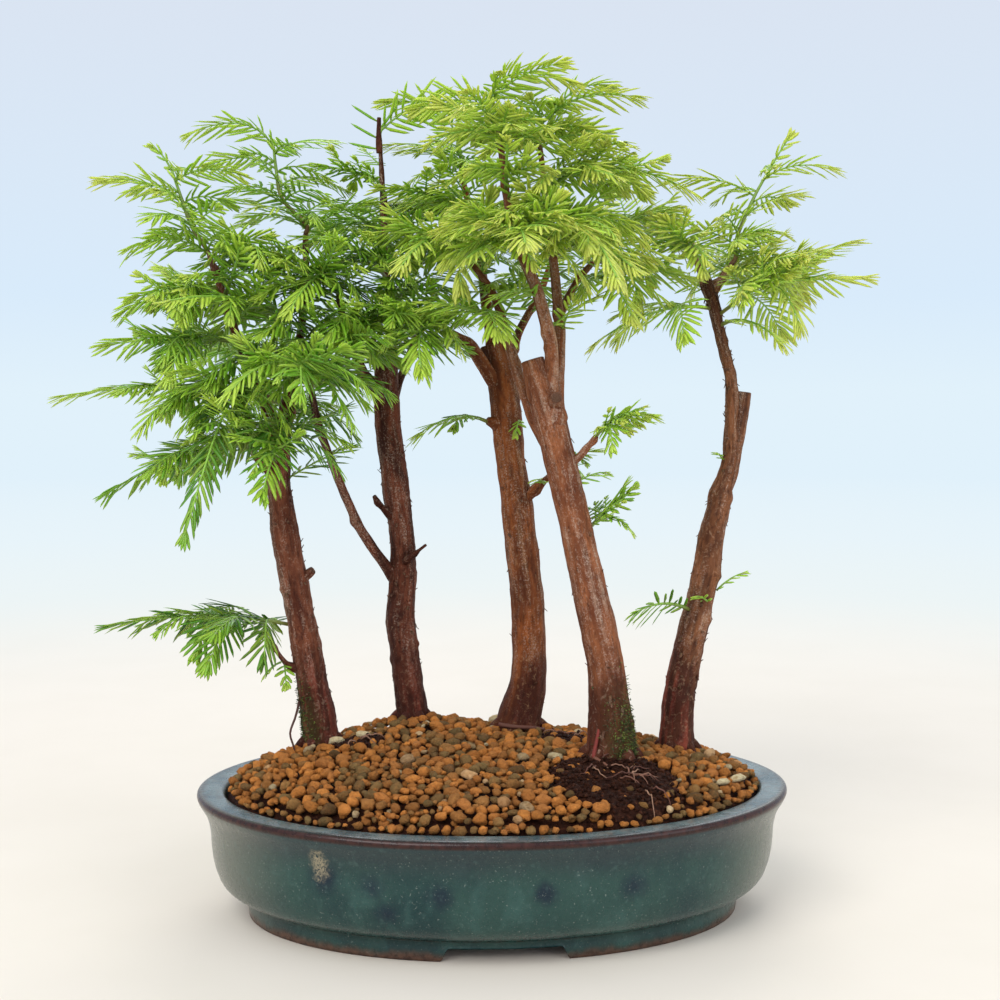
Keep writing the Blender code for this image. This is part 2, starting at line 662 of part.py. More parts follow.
def frond_points(start, middle, end, roll, bare, swell=0.0):
    """Ring corners along a frond's rib, the tips of its needles and its end point."""
    length = (middle - start).length + (end - middle).length
    first = STEM_BARE if bare else FROND_ROOT
    pairs = max(4, round(length * (NEEDLES_END - first) / NEEDLE_PITCH))
    shares = [TESTED_FROM if swell else 0.0, first * 0.5] if bare else [0.0]
    shares += [blend(first, NEEDLES_END, k / pairs) for k in range(pairs + 1)]
    centres = [arched(start, middle, end, u) for u in shares]
    directions = [arc_direction(start, middle, end, u) for u in shares]
    rings = []
    frames = []
    for u, centre, direction in zip(shares, centres, directions):
        side = direction.cross(UP)
        if side.length < 0.2:
            side = direction.cross(Vector((0.0, -1.0, 0.0)))
        side.normalize()
        side = Quaternion(direction, roll) @ side
        top = side.cross(direction)
        size = 1.0 - 0.45 * u + (STEM_SWELL * max(0.0, 1.0 - u / first) if bare else 0.0)
        half = RIB_HALF_WIDTH * size + swell
        high = RIB_HEIGHT * size + swell
        rings.append((centre + top * high * 0.5, centre + side * half - top * high * 0.5,
                      centre - side * half - top * high * 0.5))
        frames.append((side, top, direction))
    tips = []
    longest = NEEDLE_LENGTH * min(1.0, length / FULL_NEEDLES_FROM)
    for k in range(len(shares) - 1 - pairs, len(shares) - 1):
        u = ((shares[k] + shares[k + 1]) / 2 - first) / (NEEDLES_END - first)
        middle_point = (centres[k] + centres[k + 1]) / 2
        side, top, direction = frames[k]
        reach = longest * needle_share(u) + swell
        lean = math.radians(blend(NEEDLE_LEAN_FIRST, NEEDLE_LEAN_LAST, u))
        forward = direction * math.cos(lean) * reach - top * reach * NEEDLE_DROOP
        outward = side * math.sin(lean) * reach
        tips.append((middle_point + forward + outward, middle_point + forward - outward))
    return rings, tips, centres[-1] + directions[-1] * (longest * TIP_LENGTH + swell)


def close_to_point(bm, row, place):
    """Draws a three-sided end out to a point."""
    point = bm.verts.new(place)
    for i in range(3):
        bm.faces.new((row[i], row[(i + 1) % 3], point))


def add_frond(bm, frond, swell=0.0, whole=True):
    """A three-sided rib whose upper faces are drawn out into needles.

    A stem's own rib ends flat at its branch. A side frond's root is a point inside the stem.
    """
    rings, tips, end = frond_points(*frond, swell)
    start, bare = frond[0], frond[4]
    rows = [[bm.verts.new(point) for point in ring] for ring in rings[0 if bare else 1:]]
    plain = len(rows) - 1 - len(tips)
    for k in range(len(rows) - 1):
        top, right, left = rows[k]
        next_top, next_right, next_left = rows[k + 1]
        bm.faces.new((right, left, next_left, next_right))
        right_face = (top, right, next_right, next_top)
        left_face = (left, top, next_top, next_left)
        if k < plain:
            bm.faces.new(right_face)
            bm.faces.new(left_face)
            continue
        for face, tip in zip((right_face, left_face), tips[k - plain]):
            point = bm.verts.new(tip)
            for i in range(4):
                bm.faces.new((face[i], face[(i + 1) % 4], point))
    if whole and not bare:
        close_to_point(bm, rows[0], start)
    else:
        bm.faces.new(rows[0])
    close_to_point(bm, rows[-1], end)


class Thicket:
    """What already stands in the crown, so that new growth is bent clear of it."""

    def __init__(self):
        self.members = []

    def add(self, bm, owner):
        """Keeps a solid's surface and its bounds."""
        low = Vector([min(vert.co[i] for vert in bm.verts) for i in range(3)])
        high = Vector([max(vert.co[i] for vert in bm.verts) for i in range(3)])
        self.members.append((BVHTree.FromBMesh(bm), low, high, owner))

    def hits(self, bm, skip=None):
        """Whether a solid crosses anything that another owner placed."""
        low = Vector([min(vert.co[i] for vert in bm.verts) for i in range(3)])
        high = Vector([max(vert.co[i] for vert in bm.verts) for i in range(3)])
        tree = BVHTree.FromBMesh(bm)
        for other, other_low, other_high, owner in self.members:
            if owner == skip or any(low[i] > other_high[i] or high[i] < other_low[i] for i in range(3)):
                continue
            if tree.overlap(other):
                return True
        return False


def bends():
    """Turns and lifts in degrees to try, the smallest first."""
    trials = [(turn, lift) for turn in range(-48, 49, 8) for lift in range(-30, 31, 6)]
    return sorted(trials, key=lambda trial: (abs(trial[0]) + 1.3 * abs(trial[1]), trial))


BENDS = bends()


def bent(start, point, turn, lift):
    """A point turned about the upright through start, then lifted towards or away from it."""
    reach = point - start
    reach = Quaternion(UP, math.radians(turn)) @ reach
    axis = reach.cross(UP)
    if axis.length > 1e-6:
        reach = Quaternion(axis.normalized(), math.radians(lift)) @ reach
    return start + reach


def clear_frond(thicket, frond, owner):
    """The frond itself or its least bend that clears everything else."""
    start, middle, end, roll, bare = frond
    for turn, lift in BENDS:
        trial = (start, bent(start, middle, turn, lift), bent(start, end, turn, lift), roll, bare)
        bm = bmesh.new()
        add_frond(bm, trial, BEND_CLEARANCE, False)
        crosses = thicket.hits(bm, owner + " shoot")
        if not crosses:
            thicket.add(bm, owner)
        bm.free()
        if not crosses:
            return trial
    return None


def faced_out(start, end, wander):
    """Roll that turns a frond's upper face outwards, to the front, the back or an end of the forest."""
    direction = (end - start).normalized()
    side = direction.cross(UP).normalized()
    outward_x = math.tanh(end.x / 80.0)
    outward_y = math.tanh((end.y - FACE_OUT_FROM_Y) / 25.0)
    return -FACE_OUT * (side.x * outward_x + side.y * outward_y) + wander


def wood_tubes():
    """Each trunk and branch as a route, its radii and its surface, by tree and name."""
    tubes = {}
    for tree in TRUNKS:
        for name in ("trunk", *BRANCHES[tree]):
            route, radii, bm = trunk_solid(tree) if name == "trunk" else branch_solid(tree, name)
            tubes[tree, name] = (route, radii, BVHTree.FromBMesh(bm))
            bm.free()
    return tubes


def stem_start(tube, share, goal):
    """Where a leafy stem begins, just off a branch or its end, and the way it leaves."""
    route, radii, surface = tube
    centre, direction, _ = along(route, radii, share)
    if share >= BRANCH_END:
        return route[-1] + direction * SEAT_GAP, direction
    away = goal - centre
    away = (away - direction * away.dot(direction)).normalized()
    return surface.ray_cast(centre, away)[0] + away * SEAT_GAP, away


def side_stem_plan(tube, share, goal, side_count, rng):
    """A leafy stem's own rib, and where its side fronds leave it in opposite pairs."""
    goal = Vector(goal)
    start, away = stem_start(tube, share, goal)
    span = (goal - start).length
    lean = away * span * 0.3 + (goal - start) * 0.15 + UP * span * 0.16
    start += away * STEM_HALF * math.sin(lean.angle(away))
    middle = start + lean
    stem = (start, middle, goal, faced_out(start, goal, rng.uniform(-0.25, 0.25)), True)
    sides = []
    for k in range(side_count):
        turn = 1 if k % 2 else -1
        place = STEM_BARE - 0.03 - SIDE_FROND_STEP * (k // 2)
        length = min(SIDE_FROND_LENGTH, span * 0.62) * rng.uniform(0.85, 1.1)
        angle = turn * rng.uniform(46, 64)
        droop = rng.uniform(0.1, 0.42)
        sides.append((place, angle, length, droop, rng.uniform(-0.25, 0.25)))
    return stem, sides


def side_frond(stem, place, angle, length, droop, wander):
    """A frond that leaves a stem at an angle in degrees and arches down under its weight."""
    start, middle, end, _, _ = stem
    root = arched(start, middle, end, place)
    direction = (arched(start, middle, end, place + 0.05) - root).normalized()
    flat = Vector((direction.x, direction.y, 0.0))
    if flat.length < 0.3:
        flat = Vector((1.0, 0.0, 0.0))
    heading = Quaternion(UP, math.radians(angle)) @ flat.normalized()
    rise = max(-0.1, min(0.5, direction.z)) * 0.5
    bow = root + (heading + UP * (0.22 + rise)).normalized() * length * 0.48
    tip = root + (heading + UP * (rise - droop)).normalized() * length * 0.96
    return root, bow, tip, faced_out(root, tip, wander), False


def leader_plan(tube, points, top, to_front, side_count, rng):
    """A leader's shoot, the frond at its top, and the fronds that alternate down it."""
    route = tube[0]
    direction = (route[-1] - route[-2]).normalized()
    start = route[-1] + direction * SEAT_GAP
    shoot = smooth_route((start, start + direction * 4.0, *points), len(points) + 1)
    top = Vector(top)
    lead = (shoot[-1] - shoot[-2]).normalized()
    reach = (top - shoot[-1]).length
    bow = shoot[-1] + lead * reach * 0.4 + (top - shoot[-1]) * 0.25
    side = (top - shoot[-1]).cross(UP).normalized()
    fronds = [(shoot[-1] - lead * 1.5, bow, top, to_front * side.y, False)]
    for k in range(side_count):
        root, _, _ = along(shoot, [0.0] * len(shoot), 0.9 - 0.75 * k / max(1, side_count - 1))
        angle = math.radians(180.0 * (k % 2) + rng.uniform(-38, 38) + 12.0 * k)
        heading = Vector((math.cos(angle), math.sin(angle), 0.0))
        length = rng.uniform(*LEADER_FROND_LENGTHS)
        bow = root + (heading + UP * 0.75).normalized() * length * 0.5
        tip = root + (heading + UP * rng.uniform(0.05, 0.4)).normalized() * length
        fronds.append((root, bow, tip, faced_out(root, tip, rng.uniform(-0.2, 0.2)), False))
    return shoot, fronds


def leafy_plans():
    """Every leafy stem as its shoot, if it has one, and its fronds, each bent clear of the rest."""
    rng = random.Random(SEED)
    tubes = wood_tubes()
    thicket = Thicket()
    for route, radii, _ in tubes.values():
        bm = bmesh.new()
        loft(bm, tube_rings(route, [radius * 1.1 + 0.2 for radius in radii], BRANCH_SIDES))
        thicket.add(bm, "wood")
        bm.free()
    leaders = {}
    for name, (tree, branch, points, top, to_front, side_count) in LEADERS.items():
        shoot, fronds = leader_plan(tubes[tree, branch], points, top, to_front, side_count, rng)
        leaders[name] = (shoot, fronds)
        bm = bmesh.new()
        add_shoot(bm, shoot, 0.2)
        thicket.add(bm, name + " shoot")
        bm.free()
    stems = {}
    for name, (tree, branch, share, goal, side_count) in SIDE_STEMS.items():
        stem, sides = side_stem_plan(tubes[tree, branch], share, goal, side_count, rng)
        stems[name] = (clear_frond(thicket, stem, name), sides)
    plans = {}
    for name, (shoot, fronds) in leaders.items():
        kept = [clear_frond(thicket, frond, name) for frond in fronds]
        plans[name] = (shoot, [frond for frond in kept if frond])
    for name, (stem, sides) in stems.items():
        kept = [clear_frond(thicket, side_frond(stem, *side), name) for side in sides]
        plans[name] = (None, [stem] + [frond for frond in kept if frond])
    return plans


def add_shoot(bm, shoot, swell=0.0):
    """The slim stem that carries the fronds."""
    steps = len(shoot) - 1
    radii = [blend(SHOOT_RADIUS, SHOOT_TIP_RADIUS, i / steps) + swell for i in range(steps + 1)]
    loft(bm, tube_rings(shoot, radii, SHOOT_SIDES))


def make_leafy_stem(name, shoot, fronds, parts, cutters, material):
    """One leafy stem: its shoot or its own rib, joined with its other fronds."""
    bm = bmesh.new()
    if shoot:
        add_shoot(bm, shoot)
    else:
        add_frond(bm, fronds[0])
        fronds = fronds[1:]
    stem = new_solid(bm, name, parts, material)
    for frond in fronds:
        bm = bmesh.new()
        add_frond(bm, frond)
        new_solid(bm, "frond", cutters)
    if fronds:
        apply_boolean(stem, "UNION", cutters)
    return stem


def centre_on_origin(solids):
    """Moves everything so that the whole object's box is centred on the Z axis."""
    corners = [vert.co for solid in solids for vert in solid.data.vertices]
    middle = [(min(c[i] for c in corners) + max(c[i] for c in corners)) / 2 for i in range(2)]
    for solid in solids:
        solid.data.transform(Matrix.Translation((-middle[0], -middle[1], 0.0)))


def main():
    clear_scene()
    parts = new_collection("dawn_redwood_forest")
    cutters = new_collection("cutters")
    glaze = new_material("glaze", (0.03, 0.12, 0.15), 0.25)
    earth = new_material("earth", (0.035, 0.02, 0.015), 0.95)
    clay_grit = new_material("clay_grit", (0.42, 0.2, 0.07), 0.9)
    plastic = new_material("plastic", (0.04, 0.04, 0.04), 0.6)
    bark = new_material("bark", (0.16, 0.06, 0.035), 0.85)
    leaf = new_material("leaf", (0.16, 0.36, 0.03), 0.5)
    solids = [make_tray(parts, cutters, glaze)]
    for name, side in (("drain_screen_left", -1), ("drain_screen_right", 1)):
        solids.append(make_screen(name, side, parts, cutters, plastic))
    solids.append(make_soil(parts, cutters, earth))
    solids.append(make_grit(parts, cutters, clay_grit))
    for tree in TRUNKS:
        solids.append(make_tree(tree, parts, cutters, bark))
    for name, (shoot, fronds) in leafy_plans().items():
        solids.append(make_leafy_stem(name, shoot, fronds, parts, cutters, leaf))
    centre_on_origin(solids)
    for solid in solids:
        if solid.name.startswith(("tray", "trunk")):
            solid.data.shade_smooth()
            solid.data.set_sharp_from_angle(angle=math.radians(40))


main()
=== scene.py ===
"""The looks of the dawn redwood forest: bark, needles, clay grit, soil and glazed tray.

The trunks, branches and fronds are placed by the same values and the same seeded rules as the solids,
in millimetres from the tray's centre. CENTRE and build_piece turn them into the frame's metres.
"""

import math
import random

import bmesh
import bpy
import numpy as np
from mathutils import Matrix, Quaternion, Vector, noise
from mathutils.bvhtree import BVHTree


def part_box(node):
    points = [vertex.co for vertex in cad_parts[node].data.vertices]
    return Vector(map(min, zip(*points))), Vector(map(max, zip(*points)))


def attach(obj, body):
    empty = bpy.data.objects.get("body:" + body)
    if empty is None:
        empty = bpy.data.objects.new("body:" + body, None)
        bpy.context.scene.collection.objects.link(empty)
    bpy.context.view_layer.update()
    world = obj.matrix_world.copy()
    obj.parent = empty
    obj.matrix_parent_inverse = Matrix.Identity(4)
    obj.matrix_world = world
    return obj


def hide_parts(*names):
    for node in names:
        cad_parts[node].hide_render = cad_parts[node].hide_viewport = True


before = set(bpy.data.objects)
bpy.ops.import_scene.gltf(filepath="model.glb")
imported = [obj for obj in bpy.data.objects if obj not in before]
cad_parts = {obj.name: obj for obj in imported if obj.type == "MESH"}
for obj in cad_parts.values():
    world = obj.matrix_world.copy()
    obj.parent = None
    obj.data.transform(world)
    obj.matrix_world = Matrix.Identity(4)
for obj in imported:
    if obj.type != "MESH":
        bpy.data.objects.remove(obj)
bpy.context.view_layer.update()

# A millimetre in metres, the upright and the gap between pieces that touch
MM = 0.001
UP = Vector((0.0, 0.0, 1.0))
SEAT_GAP = 0.3

# Tray
TRAY_LENGTH = 222.0
TRAY_WIDTH = 160.0
FLOOR_TOP = 12.0
NOTCH_HALF_WIDTH = 22.5
NOTCH_SLANT = 3.0
NOTCH_HEIGHT = 4.6
DRAIN_SPACING = 90.0
DRAIN_RADIUS = 7.0
SCREEN_SIZE = 20.0
SCREEN_THICKNESS = 1.2
SCREEN_WIRES = 8
WIRE_RADIUS = 0.3

# Soil and grit
EDGE_INSET = 11.2
EDGE_HEIGHT = 46.0
MOUND_HEIGHT = 13.0
MOUND_POWER = 0.5
MOUND_LEAN = 0.15
HUMP_HEIGHT = 6.0
HUMP_X = -32.0
HUMP_Y = 42.0
HUMP_REACH = 30.0
# Centre and half sizes of each bare mound of soil
BARE_SOIL = (
    (-51.0, 14.0, 10.0, 7.0),
    (42.0, -33.0, 23.0, 25.0),
    (29.0, 19.0, 10.0, 8.0),
)
ROOT_DEPTH = 15.0

# Trunks: x, y, z and diameter of each station, from the soil to the sawn top
TRUNK_SIDES = 8
# Height about the ground, and radius over the base's diameter, of the rings below the first station
TRUNK_FOOT = ((-ROOT_DEPTH, 0.36), (-3.0, 0.46), (2.5, 0.49))
BARK_ROUGHNESS = 0.16
BRANCH_ROUGHNESS = 0.1
TRUNKS = {
    "left": (
        (-66, 27, 58, 13.2), (-71, 27, 89, 11.6), (-75, 27, 114, 11.2), (-80, 27, 142, 10.5),
        (-82, 28, 160, 9.4), (-83, 28, 183, 9.3),
    ),
    "back": (
        (-30, 42, 62, 11.8), (-33, 42, 87, 11.6), (-35, 42, 103, 12.0), (-34, 42, 121, 10.8),
        (-34, 42, 139, 9.8), (-37, 43, 160, 10.8), (-40, 43, 183, 10.4), (-40, 43, 209, 9.2),
    ),
    "middle": (
        (12, 38, 60, 17.0), (16, 38, 74, 15.4), (17, 38, 88, 13.8), (16, 38, 112, 13.2),
        (14, 38, 130, 13.2), (12, 38, 148, 12.6), (9, 38, 169, 11.4), (8, 38, 181, 12.6),
        (6, 39, 199, 11.4), (2, 39, 213, 9.6),
    ),
    "front": (
        (44, -6, 61, 17.6), (43, -6, 79, 15.2), (42, -6, 91, 13.8), (39, -6, 105, 14.0),
        (33, -5, 132, 12.4), (29, -5, 150, 11.9), (25, -5, 167, 11.9), (20, -5, 186, 12.4),
        (14, -4, 206, 9.0),
    ),
    "right": (
        (73, 17, 57, 13.2), (74, 17, 76, 12.6), (77, 17, 91, 12.0), (82, 16, 114, 10.6),
        (85, 16, 132, 10.4), (89, 16, 152, 9.0), (93, 15, 168, 5.6), (93, 15, 199, 4.6),
        (88, 16, 219, 4.4), (85, 16, 231, 5.6), (82, 16, 239, 4.6),
    ),
}

# Woody branches: start and end diameter, then the route, which begins inside the trunk
BRANCH_SIDES = 5
BRANCHES = {
    "left": {
        "rising": (4.4, 2.4, (-83, 26, 179), (-89, 21, 197), (-96, 18, 214), (-101, 14, 231),
                   (-105, 12, 243)),
        "middle": (4.2, 2.4, (-81, 28, 180), (-77, 30, 199), (-73, 34, 218), (-71, 34, 238),
                   (-71, 34, 255)),
        "behind": (3.6, 2.2, (-81, 29, 172), (-87, 47, 189), (-91, 63, 203)),
        "low": (3.4, 2.0, (-81, 27, 158), (-89, 15, 169), (-92, 11, 176), (-92, 9, 189)),
        "forward": (3.4, 2.0, (-80, 26, 166), (-76, 7, 184), (-73, -6, 196)),
        "stub": (3.6, 2.6, (-77, 27, 118), (-69, 24, 125)),
        "twig": (2.6, 1.4, (-72, 27, 84), (-79, 23, 88), (-85, 21, 97)),
    },
    "back": {
        "leader": (4.6, 1.6, (-39, 43, 204), (-37, 42, 216), (-40, 42, 242), (-41, 42, 270),
                   (-42, 42, 290)),
        "low": (4.6, 2.6, (-35, 42, 117), (-45, 38, 131), (-51, 33, 141), (-57, 25, 156), (-66, 16, 181),
                (-68, 12, 194)),
        "upper": (4.0, 2.4, (-40, 43, 186), (-50, 36, 204), (-56, 31, 218), (-58, 27, 230)),
        "behind": (3.8, 2.2, (-39, 44, 188), (-30, 55, 211), (-23, 61, 228)),
        "far": (3.4, 2.2, (-39, 45, 192), (-44, 66, 209), (-47, 82, 222)),
        "twig": (1.8, 1.2, (-35, 41, 125), (-31, 34, 129), (-25, 30, 134)),
        "stub": (2.6, 1.8, (-36, 42, 142), (-41, 38, 147), (-45, 36, 153)),
    },
    "middle": {
        "leader": (5.0, 2.2, (3, 39, 208), (0, 42, 227), (-2, 46, 245), (-6, 49, 265), (-9, 51, 279)),
        "burl": (6.4, 3.0, (4, 38, 196), (-7, 28, 212), (-17, 21, 218)),
        "behind": (4.0, 2.4, (6, 41, 197), (14, 57, 219), (24, 66, 236), (30, 72, 251)),
        "knob": (4.4, 3.2, (7, 38, 181), (-1, 33, 183)),
        "stub": (4.0, 2.2, (12, 38, 148), (19, 33, 156), (24, 31, 161)),
    },
    "front": {
        "twin": (5.8, 2.2, (21, -5, 181), (21, -7, 212), (15, -8, 233), (8, -11, 247), (4, -12, 263),
                 (2, -10, 282)),
        "second": (5.0, 2.0, (23, -4, 183), (25, 1, 217), (23, 4, 240), (20, 6, 266), (18, 7, 284)),
        "side": (4.6, 2.6, (25, -5, 165), (15, 3, 183), (10, 7, 200), (5, 10, 219), (0, 12, 233),
                 (-8, 13, 243)),
        "right": (3.0, 1.8, (24, 2, 222), (32, 9, 236), (41, 15, 246), (48, 21, 254)),
        "low": (2.4, 1.6, (27, -5, 166), (33, -8, 172), (37, -10, 178)),
        "burl": (8.6, 7.0, (22, -7, 181), (23, -9, 190)),
    },
    "right": {
        "second": (6.2, 6.8, (88, 17, 148), (93, 17, 162), (96, 17, 177), (98, 17, 194)),
        "stub": (2.8, 2.3, (83, 16, 235), (79, 13, 243), (76, 12, 251)),
        "knob": (3.8, 2.6, (84, 16, 231), (89, 18, 237), (93, 19, 243)),
    },
}

# Fronds and needles. Shares are parts of a frond's length
NEEDLE_LENGTH = 14.5
NEEDLE_PITCH = 7.3
NEEDLES_END = 0.95
FULL_NEEDLES_FROM = 27.0
NEEDLE_LEAN_FIRST = 64.0
NEEDLE_LEAN_LAST = 34.0
NEEDLE_DROOP = 0.1
TIP_LENGTH = 0.45
FROND_ROOT = 0.1
STEM_BARE = 0.34
RIB_HALF_WIDTH = 0.62
RIB_HEIGHT = 1.0
STEM_SWELL = 0.7
STEM_HALF = 1.2
SIDE_FROND_LENGTH = 31.0
SIDE_FROND_STEP = 0.11
LEADER_FROND_LENGTHS = (21.0, 30.0)
SHOOT_RADIUS = 1.0
SHOOT_TIP_RADIUS = 0.7
SHOOT_SIDES = 4
BEND_CLEARANCE = 0.35
TESTED_FROM = 0.03
FACE_OUT = 0.65
FACE_OUT_FROM_Y = 40.0
BRANCH_END = 0.9

# Leafy stems that rise as leaders: tree, branch, route of the shoot, end of the top frond, how far
# that frond's upper face is turned to the front, and the number of side fronds
LEADERS = {
    "leafy_left_tip": (
        "left", "rising", ((-112, 11, 256), (-115, 10, 265), (-119, 10, 277)), (-125, 8, 284), 0.4, 6),
    "leafy_left_top": (
        "left", "middle", ((-80, 33, 269), (-82, 32, 280), (-83, 32, 290)), (-112, 26, 293), 0.35, 6),
    "leafy_back_top": ("back", "leader", ((-42, 42, 296), (-41, 42, 298)), (-13, 40, 305), 0.95, 0),
    "leafy_middle_top": (
        "middle", "leader", ((-10, 50, 288), (-11, 49, 296)), (-40, 46, 303), 0.5, 3),
    "leafy_front_top": (
        "front", "twin", ((-1, -9, 293), (-2, -8, 303)), (26, -12, 306), 0.35, 6),
    "leafy_front_second": (
        "front", "second", ((20, 7, 292), (24, 6, 301)), (42, 4, 308), 0.35, 4),
    "leafy_right_top": (
        "right", "knob", ((95, 18, 253), (101, 17, 268), (108, 16, 281)), (114, 14, 291), 0.6, 7),
}
# Other leafy stems: tree, branch, place along the branch, end of the stem, number of side fronds
SIDE_STEMS = {
    "leafy_left_a": ("left", "rising", 0.80, (-131, 2, 229), 4),
    "leafy_left_b": ("left", "rising", 0.50, (-143, 14, 212), 3),
    "leafy_left_c": ("left", "rising", 0.22, (-162, 26, 193), 4),
    "leafy_left_d": ("left", "low", 0.62, (-144, 15, 157), 3),
    "leafy_left_e": ("left", "low", 0.92, (-110, -30, 146), 4),
    "leafy_left_f": ("left", "forward", 0.96, (-68, -56, 194), 2),
    "leafy_left_g": ("left", "forward", 0.55, (-82, -42, 161), 2),
    "leafy_left_h": ("left", "middle", 0.35, (-41, -18, 214), 4),
    "leafy_left_i": ("left", "middle", 0.70, (-104, -12, 256), 4),
    "leafy_left_j": ("left", "behind", 0.95, (-124, 104, 206), 2),
    "leafy_left_k": ("left", "behind", 0.60, (-74, 108, 186), 1),
    "leafy_left_l": ("left", "rising", 0.62, (-130, 62, 244), 2),
    "leafy_left_m": ("left", "middle", 0.52, (-114, -30, 226), 1),
    "leafy_left_low": ("left", "trunk", 0.52, (-144, 14, 106), 4),
    "leafy_back_a": ("back", "leader", 0.84, (-64, 37, 282), 2),
    "leafy_back_b": ("back", "leader", 0.48, (-58, -6, 250), 3),
    "leafy_back_c": ("back", "leader", 0.70, (-14, 86, 272), 2),
    "leafy_back_d": ("back", "leader", 0.60, (-70, 84, 264), 2),
    "leafy_back_e": ("back", "leader", 0.26, (-32, -18, 226), 2),
    "leafy_back_f": ("back", "far", 0.95, (-49, 122, 220), 2),
    "leafy_back_g": ("back", "upper", 0.90, (-74, -14, 224), 2),
    "leafy_back_h": ("back", "low", 0.97, (-52, -30, 184), 2),
    "leafy_middle_a": ("middle", "leader", 0.78, (-40, 22, 272), 3),
    "leafy_middle_c": ("middle", "leader", 0.62, (0, 104, 278), 2),
    "leafy_middle_d": ("middle", "burl", 0.95, (-28, -22, 212), 3),
    "leafy_middle_e": ("middle", "behind", 0.95, (56, 100, 268), 2),
    "leafy_middle_g": ("middle", "knob", 0.95, (-26, 26, 179), 1),
    "leafy_middle_h": ("middle", "stub", 0.90, (40, 28, 171), 1),
    "leafy_front_a": ("front", "twin", 0.62, (6, -66, 243), 4),
    "leafy_front_b": ("front", "second", 0.66, (38, -54, 233), 4),
    "leafy_front_c": ("front", "second", 0.86, (70, -12, 268), 4),
    "leafy_front_d": ("front", "right", 0.95, (76, 46, 264), 3),
    "leafy_front_e": ("front", "right", 0.62, (73, 10, 238), 2),
    "leafy_front_f": ("front", "side", 0.92, (-34, -26, 239), 4),
    "leafy_front_g": ("front", "low", 0.95, (55, -18, 186), 2),
    "leafy_front_h": ("front", "trunk", 0.66, (49, 4, 158), 2),
    "leafy_right_a": ("right", "knob", 0.55, (142, 12, 238), 4),
    "leafy_right_b": ("right", "trunk", 0.87, (126, -24, 248), 4),
    "leafy_right_c": ("right", "stub", 0.80, (63, -8, 257), 4),
    "leafy_right_d": ("right", "trunk", 0.89, (38, -8, 213), 3),
    "leafy_right_e": ("right", "trunk", 0.84, (105, -12, 213), 0),
    "leafy_right_f": ("right", "knob", 0.80, (116, 66, 250), 2),
    "leafy_right_low": ("right", "trunk", 0.40, (54, -4, 112), 0),
}
SEED = 41

# Needles as they are: full width, thickness and distance between pairs, wide low down and close at the tip
NEEDLE_WIDTH = 1.45
NEEDLE_THICKNESS = 0.34
PAIR_STEPS = (2.9, 2.1)
FINE_END = 0.98
FINE_LEANS = (64.0, 24.0)
# Length of a needle against the longest: at the root, and how much shorter at the tip
FINE_ROOT_SHARE = 0.68
FINE_TIP_LOSS = 0.3
TIP_NEEDLES = (-0.4, -0.19, 0.0, 0.2, 0.42)
BARE_NEEDLES_FROM = 0.14
STEM_RADII = (0.8, 0.28)
FROND_RADII = (0.45, 0.2)
RIB_SIDES = 6
RIB_STEPS = 7
ROOTED = 1.4
# Shorter fronds that fill the stems out between those of the solids: how many, and longest and shortest
STEM_FILLING = (9, 27.0, 15.0)
LEADER_FILLING = (12, 25.0, 13.0)
BRANCH_FILLING_STEP = 11.0
BRANCH_FILLING = (14.0, 25.0)
GOLDEN_ANGLE = 137.5
# How many bends are tried for such a frond
FILLING_BENDS = 45
# How young the needles of each tree look, and how lit: partly painted light and shade, darker on the left
# and back crowns and lighter on the front and right ones
TREE_YOUTH_AND_LIGHT = {"left": -0.02, "back": 0.02, "middle": 0.16, "front": 0.22, "right": 0.22}
# Youth of a needle, which also paints shade on the low inner fronds and light high up and outside: on a low
# inner frond, more for height and for reach, by chance, least and most
INNER_YOUTH_AND_SHADE = 0.14
YOUTH_AND_LIGHT_FOR_HEIGHT = 0.38
YOUTH_AND_LIGHT_FOR_REACH = 0.24
YOUTH_BY_CHANCE = 0.15
YOUTH_LIMITS = (0.03, 0.92)
CROWN_MIDDLE = Vector((-5.0, 30.0, 165.0))
CROWN_HEIGHT = 150.0
CROWN_REACH = 130.0
# How far a tree's filling fronds may hang
HANG = {"left": 0.7, "back": 0.6, "middle": 0.5, "front": 0.5, "right": 0.1}
# Small sprigs on bare wood: how young they are, then start, end and roll of each
SPRIG_YOUTH = 0.5
SPRIGS = (
    ((-80, 22.5, 88.5), (-79, 15, 82), 0.0), ((-81.5, 22.5, 89.5), (-87, 16, 86), 0.5),
    ((88, 15, 117), (97, 12, 124), 0.0), ((84, 12, 113), (78, 6, 116), 0.4),
    ((90, 15, 168), (86, 9, 171), 0.0), ((12, 31, 183), (10, 24, 178), 0.3),
    ((22, 31, 158), (17, 22, 160), 0.2), ((30, -4, 160), (42, 2, 164), 0.3),
)
